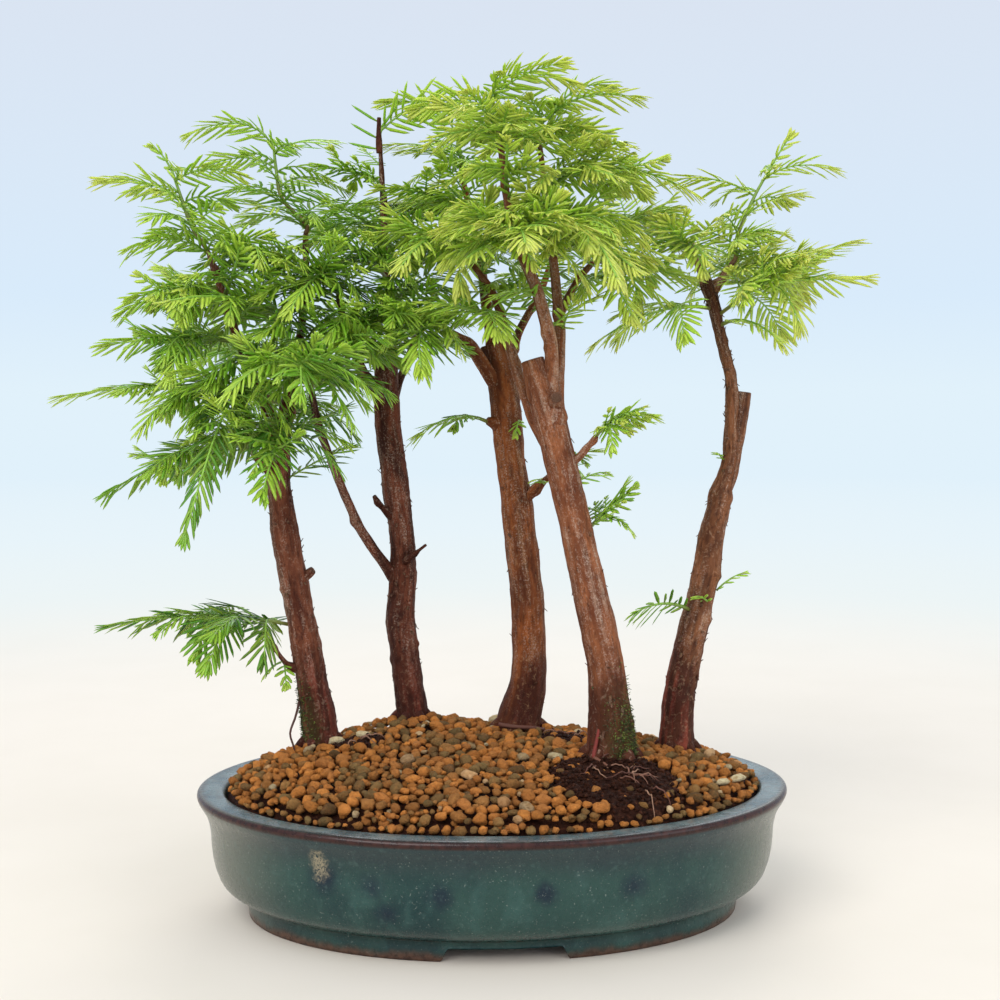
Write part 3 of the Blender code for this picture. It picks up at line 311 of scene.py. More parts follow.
# More leafy stems that close the crown in front: tree, branch, place along it, end and side fronds
COVER_STEMS = (
    ("back", "leader", 0.55, (-25, 12, 259), 4), ("back", "leader", 0.38, (-17, 8, 240), 4),
    ("back", "leader", 0.62, (-60, 8, 264), 3), ("back", "leader", 0.12, (-24, -4, 214), 3),
    ("back", "upper", 0.75, (-30, -12, 222), 4), ("left", "middle", 0.6, (-58, -4, 248), 4),
    ("left", "middle", 0.4, (-52, -14, 226), 4), ("left", "rising", 0.75, (-92, -14, 246), 3),
    ("left", "rising", 0.35, (-84, -22, 206), 4), ("left", "low", 0.5, (-100, -20, 190), 3),
    ("middle", "leader", 0.7, (-18, 8, 272), 4), ("middle", "leader", 0.45, (-20, -2, 254), 4),
    ("middle", "leader", 0.25, (24, 14, 246), 4), ("middle", "behind", 0.8, (40, 30, 262), 3),
    ("front", "side", 0.62, (-24, -22, 226), 4), ("front", "twin", 0.7, (-14, -38, 258), 4),
    ("front", "twin", 0.6, (-12, -44, 240), 3), ("front", "second", 0.55, (46, -36, 238), 4),
    ("front", "twin", 0.66, (20, -50, 254), 4),
    ("front", "right", 0.4, (48, -22, 222), 3), ("front", "second", 0.8, (40, -32, 270), 4),
    ("front", "twin", 0.85, (2, -38, 280), 4), ("front", "twin", 0.9, (-22, -16, 284), 3),
)
# Bare end of the back leader, and the single needles on it: length, width, how far their tips rise,
# then the height of each and how far it heads aside and up
BARE_TIP = ((-42.3, 42, 288), (-42.6, 42, 295), (-42.4, 42, 301.5))
LONE_LENGTH = 12.5
LONE_WIDTH = 1.2
LONE_BOW = -1.5
LONE_NEEDLES = ((300.0, -0.88, 0.47), (293.5, -0.9, 0.42), (296.5, 0.6, 0.75), (289.5, -0.8, 0.1))
# Stems that stay thin, branches without fronds of their own, and the lowest such frond on each tree
PLAIN_SPRIGS = ("leafy_right_low", "leafy_middle_g", "leafy_right_e", "leafy_back_top")
BARE_WOOD = ("stub", "twig", "knob", "burl")
INNER_FROM = {"left": 168.0, "back": 200.0, "middle": 214.0, "front": 216.0, "right": 238.0}
FILLING_FROM = {"left": 0.0, "back": 0.0, "middle": 0.0, "front": 0.0, "right": 236.0}

# Wood
TRUNK_STEP = 0.95
TRUNK_FINE_SIDES = 42
BRANCH_STEP = 1.2
BRANCH_FINE_SIDES = 12
# Branches with a radius above the first value have the step and the sides that follow
THICK_FROM = 2.6
THICK_STEP = 0.8
THICK_SIDES = 28
# Radii of a trunk's lowest rings over its diameter
ROOT_SHARES = (0.4, 0.52, 0.53)
KNOBS_PER_TRUNK = 9
KNOBS_PER_BRANCH = 3
# Roots at a trunk's foot: how many, height at which they leave it, and radii over its diameter
FOOT_ROOTS = 6
FOOT_ROOT_RISE = 3.5
FOOT_ROOT_RADII = (0.15, 0.11, 0.05)
# Relief of the bark and number of lifted flakes
BARK_RELIEF = {"left": 0.75, "back": 0.75, "middle": 0.52, "front": 0.45, "right": 0.9}
FLAKES = {"left": 84, "back": 64, "middle": 36, "front": 22, "right": 110}
# Lowest and highest place of the moss on a trunk, the way it faces and its number of blades
MOSSY = {
    "left": (60, 84, (-1.0, -0.45, 0.0), 380),
    "front": (58, 84, (0.8, -0.7, 0.0), 620),
}
# Healed cut on the front trunk's burl: start, end and radii
SCARS = (((22.2, -9.0, 190.5), (22.0, -13.4, 192.2), 2.9, 2.3),)

# Main, dark, pale and red colour of each bark in display values
BARK_COLORS = {
    "left": ((146, 84, 58), (76, 35, 22), (190, 154, 130), (138, 54, 38)),
    "back": ((130, 70, 48), (62, 28, 17), (166, 128, 104), (116, 44, 30)),
    "middle": ((160, 88, 44), (92, 46, 24), (190, 146, 106), (94, 34, 24)),
    "front": ((162, 98, 62), (106, 56, 34), (208, 174, 148), (118, 48, 32)),
    "right": ((146, 92, 60), (76, 42, 26), (192, 156, 124), (152, 58, 42)),
}

# Ground
PEBBLE_SIZES = ((240, 2.1, 2.9), (1100, 1.5, 2.1), (2600, 0.95, 1.5))
PEBBLE_SHAPES = 10
PEBBLE_PACKING = 0.84
TOP_PEBBLES = 2300
LOW_PEBBLES = 700
# Tries for stones set along the rim, their sizes, and how far to the left they reach
EDGE_TRIES = 900
EDGE_SIZES = (1.1, 2.4)
LEFT_GAP = -92.0
# Small stones lie thinner to the left of this
THIN_LEFT = -88.0
# Side of the cells in which stones look for their neighbours, and tries for each stone
STONE_CELL = 6.5
TRIES_PER_PEBBLE = 9
# Share of the stones that are partly cream, and how much
CREAM_CHANCE = 0.045
CREAM_SHARES = (0.25, 0.9)
# Soil: rings and sides of its top, and inset and height of the rings under it
SOIL_RINGS = 84
SOIL_SIDES = 216
SOIL_UNDER = ((12.6, 22.2), (18.6, 14.1), (30.5, FLOOR_TOP + SEAT_GAP))
CRUMBS = 1700
CRUMB_SIZES = (0.35, 1.25)
# Thin roots on the soil: how many, how many of them start at one place, that place and their step
ROOTLETS = 22
ROOTLETS_TOGETHER = 9
ROOTLETS_X = 47.5
ROOTLETS_Y = -32.0
ROOTLET_STEP = 1.1
# Pale stones that stand out: place in the tray, half sizes and turn in degrees
PALE_STONES = (
    (4.4, 45.0, 4.6, 3.0, 2.9, 20), (-60.2, 19.5, 3.2, 2.4, 1.9, 10), (-50.0, 19.5, 3.0, 2.2, 2.0, -25),
    (89.0, -20.0, 4.2, 2.6, 1.7, 35), (82.0, -27.0, 3.0, 1.8, 1.5, 20),
)
# Steps along a root that stands out, then for each its route, first and last radius, and colour from
# brown to red
THIN_ROOT_STEPS = 14
THIN_ROOTS = (
    (((-74.5, 24, 74), (-76, 22, 68), (-78, 20, 62), (-76.5, 20, 56), (-77, 19, 51)), 0.5, 0.35, 0.1),
    (((38.4, -12.2, 69), (37.2, -13.4, 64), (36.0, -14.6, 59), (35.0, -16.0, 54)), 0.6, 0.9, 1.0),
    (((4, 30, 62), (10, 27.5, 61.6), (17, 27, 61.2), (22, 29, 60)), 1.0, 0.7, 0.25),
    (((36, -14, 59), (40, -21, 57.5), (45, -27, 55), (49, -32, 52)), 0.8, 0.4, 0.45),
    (((35, -15, 58.5), (32, -21, 56.5), (33, -28, 52.5)), 0.6, 0.3, 0.5),
)

# Tray: inset and height of its section in runs that are smooth inside and meet at corners
TRAY_RUNS = (
    ((70.0, 7.5), (48.0, 7.5), (25.6, 7.5)),
    ((25.6, 7.5), (25.2, 3.5), (24.9, 0.0)),
    ((24.9, 0.0), (21.7, 0.0), (18.6, 0.0)),
    ((18.6, 0.0), (18.3, 3.0), (18.7, 6.2), (17.4, 7.9), (14.4, 8.9), (11.0, 11.0), (8.5, 13.7),
     (6.9, 17.4), (5.8, 21.5), (5.1, 27.0), (4.8, 32.5), (3.7, 37.6), (2.2, 40.8), (0.8, 43.0),
     (0.0, 45.0), (0.2, 46.2), (1.2, 46.95), (3.0, 47.0), (6.0, 46.9), (8.8, 46.7), (9.9, 46.0),
     (10.5, 44.0), (11.2, 33.0), (12.0, 22.0), (14.2, 16.8), (18.0, 13.7), (24.0, 12.3), (32.0, 12.0)),
    ((32.0, 12.0), (50.0, 12.0), (70.0, 12.0)),
)
TRAY_FINE_SIDES = 168
TRAY_RUN_STEPS = (2, 6, 3, 84, 2)
# The foot ring's outer and inner inset, and distances from the middle of corners at the notches' ends
FOOT_INSETS = (18.6, 24.9)
NOTCH_STOPS = (18.6, 19.2, 19.8, 20.4, 21.0, 21.6, 22.2, 22.8)

# Brown line of the lip: height and how far in it reaches, where the pale rim starts, and unevenness
LIP_HEIGHT = 45.7
LIP_INSET = 2.4
RIM_FROM = 1.4
GLAZE_WAVE = 0.18
DRILL_HEIGHT = 10.0

# Dark blue pools in the glaze: place on the wall and reach. The stain is a dry run of dirt
GLAZE_SPOTS = (
    (-61.2, -60.7, 31.0, 6.5), (-45.3, -67.3, 29.0, 5.0), (-41.0, -69.0, 20.0, 4.5),
    (43.3, -67.9, 28.0, 5.5), (-22.7, -72.7, 27.0, 5.0), (12.1, -74.0, 28.0, 4.0),
    (20.0, 73.0, 27.0, 6.0), (-50.0, 66.0, 30.0, 5.0),
    (95.0, 30.0, 26.0, 6.0), (-98.0, 24.0, 30.0, 5.0), (70.0, 55.0, 22.0, 4.0),
)
STAIN = (-62.5, -60.0, 38.0)
STAIN_STRETCH = 0.42

# Camera, in millimetres from the tray's centre
CAMERA_PLACE = (-37.5, -569.4, 195.0)
CAMERA_DOWN = 4.12
CAMERA_TURN = -4.0
CAMERA_LENS = 55.0
CAMERA_SENSOR = 36.0

# Where the floor begins and ends to fade into a painted glow, in metres
FLOOR_FADE = (0.25, 1.0)
FLOOR_RADIUS = 6.0
FLOOR_DROP = 0.0002
# Lights: name, place, size, energy and colour
LIGHT_AIM = (0.0, 0.0, 0.15)
LIGHTS = (
    ("key", (-0.9, -1.3, 1.5), 1.3, 26.0, (1.0, 0.985, 0.96)),
    ("fill", (1.3, -1.1, 0.9), 1.4, 9.0, (0.94, 0.97, 1.0)),
    ("back", (0.3, 1.4, 1.3), 1.2, 10.0, (1.0, 1.0, 1.0)),
)


def bridge(bm, rings):
    """Joins rings of equal length with faces."""
    for lower, upper in zip(rings, rings[1:]):
        count = len(lower)
        for i in range(count):
            j = (i + 1) % count
            bm.faces.new((lower[i], lower[j], upper[j], upper[i]))


def loft(bm, rings):
    """A closed solid through rings of points."""
    rows = [[bm.verts.new(point) for point in ring] for ring in rings]
    bridge(bm, rows)
    bm.faces.new(rows[0])
    bm.faces.new(rows[-1])


def ground(x, y):
    """Height of the grit's surface, mounded towards the middle and the back."""
    half_length = TRAY_LENGTH / 2 - EDGE_INSET
    half_width = TRAY_WIDTH / 2 - EDGE_INSET
    inside = max(0.0, 1.0 - (x / half_length) ** 2 - (y / half_width) ** 2)
    mound = MOUND_HEIGHT * inside ** MOUND_POWER * (1 + MOUND_LEAN * y / half_width)
    away = ((x - HUMP_X) ** 2 + (y - HUMP_Y) ** 2) / HUMP_REACH ** 2
    return EDGE_HEIGHT + mound + HUMP_HEIGHT * math.exp(-away) * min(1.0, 3 * inside)


def inside_edge(x, y, margin):
    """Whether a place lies on the planting, at least margin from its edge."""
    half_length = TRAY_LENGTH / 2 - EDGE_INSET - margin
    half_width = TRAY_WIDTH / 2 - EDGE_INSET - margin
    return (x / half_length) ** 2 + (y / half_width) ** 2 < 1.0


def smooth_route(points, steps):
    """Points at even steps along a smooth curve through a few given points."""
    points = [Vector(point) for point in points]
    if len(points) == 2:
        return [points[0].lerp(points[1], i / steps) for i in range(steps + 1)]
    padded = [2 * points[0] - points[1]] + points + [2 * points[-1] - points[-2]]
    route = []
    spans = len(points) - 1
    for i in range(steps + 1):
        place = min(i / steps * spans, spans - 1e-6)
        k = int(place)
        t = place - k
        a, b, c, d = padded[k:k + 4]
        route.append(0.5 * (2 * b + (c - a) * t + (2 * a - 5 * b + 4 * c - d) * t ** 2
                            + (3 * b - 3 * c + d - a) * t ** 3))
    return route


def tangents(route):
    """Unit directions along a route."""
    last = len(route) - 1
    return [(route[min(i + 1, last)] - route[max(i - 1, 0)]).normalized() for i in range(last + 1)]


def tube_rings(route, radii, sides, roughness=0.0):
    """Rings round a route, turned as little as possible from one to the next."""
    directions = tangents(route)
    side = directions[0].orthogonal().normalized()
    rings = []
    for k, (centre, direction, radius) in enumerate(zip(route, directions, radii)):
        if k:
            side = directions[k - 1].rotation_difference(direction) @ side
        side = (side - direction * side.dot(direction)).normalized()
        other = direction.cross(side)
        ring = []
        for i in range(sides):
            angle = 2 * math.pi * i / sides
            ray = side * math.cos(angle) + other * math.sin(angle)
            swell = 1.0 + roughness * noise.noise(Vector((3.1 * i, 0.11 * centre.z, 0.05 * centre.x)))
            ring.append(centre + ray * radius * swell)
        rings.append(ring)
    return rings


def blend(first, last, share):
    """A value between two others."""
    return first + (last - first) * share


def trunk_route(tree):
    """Stations of a trunk from the bottom of its hole to its top, and their radii."""
    stations = TRUNKS[tree]
    x, y, z, diameter = stations[0]
    foot = ground(x, y)
    route = [Vector((x, y, foot + rise)) for rise, _ in TRUNK_FOOT]
    radii = [diameter * share for _, share in TRUNK_FOOT]
    for x, y, z, diameter in stations[1:]:
        route.append(Vector((x, y, z)))
        radii.append(diameter / 2)
    return route, radii


def branch_route(tree, branch):
    """A woody branch as a smooth route, and its radii."""
    first, last, *points = BRANCHES[tree][branch]
    steps = max(2, len(points) - 1)
    route = smooth_route(points, steps)
    radii = [blend(first, last, i / steps) / 2 for i in range(steps + 1)]
    return route, radii


def wood_names(tree):
    """The trunk and every branch of a tree."""
    return ("trunk", *BRANCHES[tree])


def wood_route(tree, name):
    """Route and radii of a tree's trunk or of one of its branches."""
    return trunk_route(tree) if name == "trunk" else branch_route(tree, name)


def wood_solid(tree, name):
    """Route, radii and closed bmesh of a tree's trunk or of one of its branches."""
    route, radii = wood_route(tree, name)
    section = (TRUNK_SIDES, BARK_ROUGHNESS) if name == "trunk" else (BRANCH_SIDES, BRANCH_ROUGHNESS)
    bm = bmesh.new()
    loft(bm, tube_rings(route, radii, *section))
    return route, radii, bm


def along(route, radii, share):
    """Centre, direction and radius part of the way along a route."""
    place = share * (len(route) - 1)
    k = min(int(place), len(route) - 2)
    t = place - k
    direction = (route[k + 1] - route[k]).normalized()
    return route[k].lerp(route[k + 1], t), direction, blend(radii[k], radii[k + 1], t)


def arched(start, middle, end, t):
    """A point on an arc that leaves start towards middle and comes to rest at end."""
    return start * (1 - t) ** 2 + middle * (2 * t * (1 - t)) + end * t ** 2


def arc_direction(start, middle, end, t):
    """Unit direction of that arc."""
    return ((middle - start) * (1 - t) + (end - middle) * t).normalized()


def needle_share(u):
    """Length of a needle against the longest, by its place on the frond."""
    if u < 0.4:
        return 0.62 + 0.38 * math.sin(math.pi / 2 * u / 0.4)
    return 1.0 - 0.5 * ((u - 0.4) / 0.6) ** 1.6


def frond_frame(direction, roll):
    """The side and the upper face of a frond that runs in a direction, as the solids have them."""
    side = direction.cross(UP)
    if side.length < 0.2:
        side = direction.cross(Vector((0.0, -1.0, 0.0)))
    side.normalize()
    side = Quaternion(direction, roll) @ side
    return side, side.cross(direction)


def frond_points(start, middle, end, roll, bare, swell=0.0):
    """Ring corners along a frond's rib, the tips of its needles and its end point."""
    length = (middle - start).length + (end - middle).length
    first = STEM_BARE if bare else FROND_ROOT
    pairs = max(4, round(length * (NEEDLES_END - first) / NEEDLE_PITCH))
    shares = [TESTED_FROM if swell else 0.0, first * 0.5] if bare else [0.0]
    shares += [blend(first, NEEDLES_END, k / pairs) for k in range(pairs + 1)]
    centres = [arched(start, middle, end, u) for u in shares]
    directions = [arc_direction(start, middle, end, u) for u in shares]
    rings = []
    frames = []
    for u, centre, direction in zip(shares, centres, directions):
        side, top = frond_frame(direction, roll)
        size = 1.0 - 0.45 * u + (STEM_SWELL * max(0.0, 1.0 - u / first) if bare else 0.0)
        half = RIB_HALF_WIDTH * size + swell
        high = RIB_HEIGHT * size + swell
        rings.append((centre + top * high * 0.5, centre + side * half - top * high * 0.5,
                      centre - side * half - top * high * 0.5))
        frames.append((side, top, direction))
    tips = []
    longest = NEEDLE_LENGTH * min(1.0, length / FULL_NEEDLES_FROM)
    for k in range(len(shares) - 1 - pairs, len(shares) - 1):
        u = ((shares[k] + shares[k + 1]) / 2 - first) / (NEEDLES_END - first)
        middle_point = (centres[k] + centres[k + 1]) / 2
        side, top, direction = frames[k]
        reach = longest * needle_share(u) + swell
        lean = math.radians(blend(NEEDLE_LEAN_FIRST, NEEDLE_LEAN_LAST, u))
        forward = direction * math.cos(lean) * reach - top * reach * NEEDLE_DROOP
        outward = side * math.sin(lean) * reach
        tips.append((middle_point + forward + outward, middle_point + forward - outward))
    return rings, tips, centres[-1] + directions[-1] * (longest * TIP_LENGTH + swell)


def draw_out(bm, ring, place):
    """Draws a ring of corners out to a point."""
    point = bm.verts.new(place)
    for i, corner in enumerate(ring):
        bm.faces.new((corner, ring[(i + 1) % len(ring)], point))


def add_frond(bm, frond, swell=0.0):
    """A frond as the solids have it, to test what it would cross.

    It is a three-sided rib whose upper faces are drawn out into needles.
    """
    rings, tips, end = frond_points(*frond, swell)
    bare = frond[4]
    rows = [[bm.verts.new(point) for point in ring] for ring in rings[0 if bare else 1:]]
    plain = len(rows) - 1 - len(tips)
    for k in range(len(rows) - 1):
        top, right, left = rows[k]
        next_top, next_right, next_left = rows[k + 1]
        bm.faces.new((right, left, next_left, next_right))
        upper = ((top, right, next_right, next_top), (left, top, next_top, next_left))
        for i, face in enumerate(upper):
            if k < plain:
                bm.faces.new(face)
            else:
                draw_out(bm, face, tips[k - plain][i])
    bm.faces.new(rows[0])
    draw_out(bm, rows[-1], end)


def extent(bm):
    """Lowest and highest corner of a solid's box."""
    return [Vector([pick(vert.co[i] for vert in bm.verts) for i in range(3)]) for pick in (min, max)]


class Thicket:
    """What already stands in the crown, so that new growth is bent clear of it."""

    def __init__(self):
        self.members = []

    def add(self, bm, owner):
        """Keeps a solid's surface and its bounds."""
        self.members.append((BVHTree.FromBMesh(bm), *extent(bm), owner))

    def hits(self, bm, skip=None):
        """Whether a solid crosses anything that another owner placed."""
        low, high = extent(bm)
        tree = BVHTree.FromBMesh(bm)
        for other, other_low, other_high, owner in self.members:
            if owner == skip or any(low[i] > other_high[i] or high[i] < other_low[i] for i in range(3)):
                continue
            if tree.overlap(other):
                return True
        return False


def bends():
    """Turns and lifts in degrees to try, the smallest first."""
    trials = [(turn, lift) for turn in range(-48, 49, 8) for lift in range(-30, 31, 6)]
    return sorted(trials, key=lambda trial: (abs(trial[0]) + 1.3 * abs(trial[1]), trial))


BENDS = bends()


def bent(start, point, turn, lift):
    """A point turned about the upright through start, then lifted towards or away from it."""
    reach = point - start
    reach = Quaternion(UP, math.radians(turn)) @ reach
    axis = reach.cross(UP)
    if axis.length > 1e-6:
        reach = Quaternion(axis.normalized(), math.radians(lift)) @ reach
    return start + reach


def clear_frond(thicket, frond, owner):
    """The frond itself or its least bend that clears everything else."""
    start, middle, end, roll, bare = frond
    for turn, lift in BENDS:
        trial = (start, bent(start, middle, turn, lift), bent(start, end, turn, lift), roll, bare)
        bm = bmesh.new()
        add_frond(bm, trial, BEND_CLEARANCE)
        crosses = thicket.hits(bm, owner + " shoot")
        if not crosses:
            thicket.add(bm, owner)
        bm.free()
        if not crosses:
            return trial
    return None


def faced_out(start, end, wander):
    """Roll that turns a frond's upper face outwards, to the front, the back or an end of the forest."""
    direction = (end - start).normalized()
    side = direction.cross(UP).normalized()
    outward_x = math.tanh(end.x / 80.0)
    outward_y = math.tanh((end.y - FACE_OUT_FROM_Y) / 25.0)
    return -FACE_OUT * (side.x * outward_x + side.y * outward_y) + wander


def wood_tubes():
    """Each trunk and branch as a route, its radii and its surface, by tree and name."""
    tubes = {}
    for tree in TRUNKS:
        for name in wood_names(tree):
            route, radii, bm = wood_solid(tree, name)
            tubes[tree, name] = (route, radii, BVHTree.FromBMesh(bm))
            bm.free()
    return tubes


def stem_start(tube, share, goal):
    """Where a leafy stem begins, just off a branch or its end, and the way it leaves."""
    route, radii, surface = tube
    centre, direction, _ = along(route, radii, share)
    if share >= BRANCH_END:
        return route[-1] + direction * SEAT_GAP, direction
    away = goal - centre
    away = (away - direction * away.dot(direction)).normalized()
    return surface.ray_cast(centre, away)[0] + away * SEAT_GAP, away


def side_stem_plan(tube, share, goal, side_count, rng):
    """A leafy stem's own rib, and where its side fronds leave it in opposite pairs."""
    goal = Vector(goal)
    start, away = stem_start(tube, share, goal)
    span = (goal - start).length
    lean = away * span * 0.3 + (goal - start) * 0.15 + UP * span * 0.16
    start += away * STEM_HALF * math.sin(lean.angle(away))
    middle = start + lean
    stem = (start, middle, goal, faced_out(start, goal, rng.uniform(-0.25, 0.25)), True)
    sides = []
    for k in range(side_count):
        turn = 1 if k % 2 else -1
        place = STEM_BARE - 0.03 - SIDE_FROND_STEP * (k // 2)
        length = min(SIDE_FROND_LENGTH, span * 0.62) * rng.uniform(0.85, 1.1)
        angle = turn * rng.uniform(46, 64)
        droop = rng.uniform(0.1, 0.42)
        sides.append((place, angle, length, droop, rng.uniform(-0.25, 0.25)))
    return stem, sides


def side_frond(stem, place, angle, length, droop, wander):
    """A frond that leaves a stem at an angle in degrees and arches down under its weight."""
    start, middle, end, _, _ = stem
    root = arched(start, middle, end, place)
    direction = (arched(start, middle, end, place + 0.05) - root).normalized()
    flat = Vector((direction.x, direction.y, 0.0))
    if flat.length < 0.3:
        flat = Vector((1.0, 0.0, 0.0))
    heading = Quaternion(UP, math.radians(angle)) @ flat.normalized()
    rise = max(-0.1, min(0.5, direction.z)) * 0.5
    bow = root + (heading + UP * (0.22 + rise)).normalized() * length * 0.48
    tip = root + (heading + UP * (rise - droop)).normalized() * length * 0.96
    return root, bow, tip, faced_out(root, tip, wander), False


def leader_plan(tube, points, top, to_front, side_count, rng):
    """A leader's shoot, the frond at its top, and the fronds that alternate down it."""
    route = tube[0]
    direction = (route[-1] - route[-2]).normalized()
    start = route[-1] + direction * SEAT_GAP
    shoot = smooth_route((start, start + direction * 4.0, *points), len(points) + 1)
    top = Vector(top)
    lead = (shoot[-1] - shoot[-2]).normalized()
    reach = (top - shoot[-1]).length
    bow = shoot[-1] + lead * reach * 0.4 + (top - shoot[-1]) * 0.25
    side = (top - shoot[-1]).cross(UP).normalized()
    fronds = [(shoot[-1] - lead * 1.5, bow, top, to_front * side.y, False)]
    for k in range(side_count):
        root, _, _ = along(shoot, [0.0] * len(shoot), 0.9 - 0.75 * k / max(1, side_count - 1))
        angle = math.radians(180.0 * (k % 2) + rng.uniform(-38, 38) + 12.0 * k)
        heading = Vector((math.cos(angle), math.sin(angle), 0.0))
        length = rng.uniform(*LEADER_FROND_LENGTHS)
        bow = root + (heading + UP * 0.75).normalized() * length * 0.5
        tip = root + (heading + UP * rng.uniform(0.05, 0.4)).normalized() * length
        fronds.append((root, bow, tip, faced_out(root, tip, rng.uniform(-0.2, 0.2)), False))
    return shoot, fronds


def leafy_plans():
    """Every leafy stem as its shoot, if it has one, and its fronds, each bent clear of the rest."""
    rng = random.Random(SEED)
    tubes = wood_tubes()
    thicket = Thicket()
    for route, radii, _ in tubes.values():
        bm = bmesh.new()
        loft(bm, tube_rings(route, [radius * 1.1 + 0.2 for radius in radii], BRANCH_SIDES))
        thicket.add(bm, "wood")
        bm.free()
    leaders = {}
    for name, (tree, branch, points, top, to_front, side_count) in LEADERS.items():
        shoot, fronds = leader_plan(tubes[tree, branch], points, top, to_front, side_count, rng)
        leaders[name] = (shoot, fronds)
        bm = bmesh.new()
        add_shoot(bm, shoot, 0.2)
        thicket.add(bm, name + " shoot")
        bm.free()
    stems = {}
    for name, (tree, branch, share, goal, side_count) in SIDE_STEMS.items():
        stem, sides = side_stem_plan(tubes[tree, branch], share, goal, side_count, rng)
        stems[name] = (clear_frond(thicket, stem, name), sides)
    plans = {}
    for name, (shoot, fronds) in leaders.items():
        kept = [clear_frond(thicket, frond, name) for frond in fronds]
        plans[name] = (shoot, [frond for frond in kept if frond])
    for name, (stem, sides) in stems.items():
        kept = [clear_frond(thicket, side_frond(stem, *side), name) for side in sides]
        plans[name] = (None, [stem] + [frond for frond in kept if frond])
    return plans


def add_shoot(bm, shoot, swell):
    """The slim shoot of a leader, to test what it would cross."""
    steps = len(shoot) - 1
    radii = [blend(SHOOT_RADIUS, SHOOT_TIP_RADIUS, i / steps) + swell for i in range(steps + 1)]
    loft(bm, tube_rings(shoot, radii, SHOOT_SIDES))


def srgb(red, green, blue):
    """A linear colour from display values of 0 to 255."""
    return tuple(((c / 255 + 0.055) / 1.055) ** 2.4 if c > 10 else c / 3295 for c in (red, green, blue))


HORIZON = srgb(225, 241, 251)
FLOOR_COLORS = (srgb(232, 222, 208), srgb(227, 217, 202))


def tray_centre():
    """Where the tray's middle stands in the frame."""
    low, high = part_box("tray")
    return np.array(((low.x + high.x) / 2, (low.y + high.y) / 2, 0.0))


CENTRE = tray_centre()


def in_frame(point):
    """The frame's metres of a place in millimetres from the tray's centre."""
    return tuple(c * MM + o for c, o in zip(point, CENTRE))


class Patch:
    """Corners, faces and tones of one piece, in millimetres."""

    def __init__(self):
        self.points = []
        self.tones = []
        self.grains = []
        self.faces = []
        self.slots = []
        self.count = 0

    def add(self, points, faces, tones, slot=0, grains=None):
        """One shape. tones is one colour or a colour for each corner."""
        points = np.asarray(points, float)
        tones = np.broadcast_to(np.asarray(tones, float), (len(points), 4))
        self.points.append(points)
        self.tones.append(tones)
        self.grains.append(points if grains is None else np.asarray(grains, float))
        self.faces.extend(tuple(self.count + i for i in face) for face in faces)
        self.slots.extend([slot] * len(faces))
        self.count += len(points)

    def add_copies(self, points, faces, tones, slot=0):
        """Many copies of one shape. points is copies by corners by 3, and tones copies by corners by 4."""
        copies, corners = points.shape[:2]
        starts = self.count + corners * np.arange(copies)
        for face in faces:
            self.faces.extend(map(tuple, (starts[:, None] + np.array(face)).tolist()))
        self.slots.extend([slot] * (copies * len(faces)))
        self.points.append(points.reshape(-1, 3))
        self.grains.append(points.reshape(-1, 3))
        self.tones.append(tones.reshape(-1, 4))
        self.count += copies * corners


def build_piece(name, patch, materials, nodes=(), smooth=True):
    """A piece of the looks from a patch, riding on the root body."""
    mesh = bpy.data.meshes.new(name)
    mesh.from_pydata((np.concatenate(patch.points) * MM + CENTRE).tolist(), [], patch.faces)
    for material in materials:
        mesh.materials.append(material)
    mesh.polygons.foreach_set("material_index", patch.slots)
    mesh.polygons.foreach_set("use_smooth", [smooth] * len(patch.faces))
    tone = mesh.color_attributes.new("tone", "FLOAT_COLOR", "POINT")
    tone.data.foreach_set("color", np.concatenate(patch.tones).astype(np.float32).ravel())
    grain = mesh.attributes.new("grain", "FLOAT_VECTOR", "POINT")
    grain.data.foreach_set("vector", np.concatenate(patch.grains).astype(np.float32).ravel())
    mesh.update()
    piece = bpy.data.objects.new(name, mesh)
    bpy.context.scene.collection.objects.link(piece)
    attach(piece, "root")
    if nodes:
        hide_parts(*nodes)
    return piece


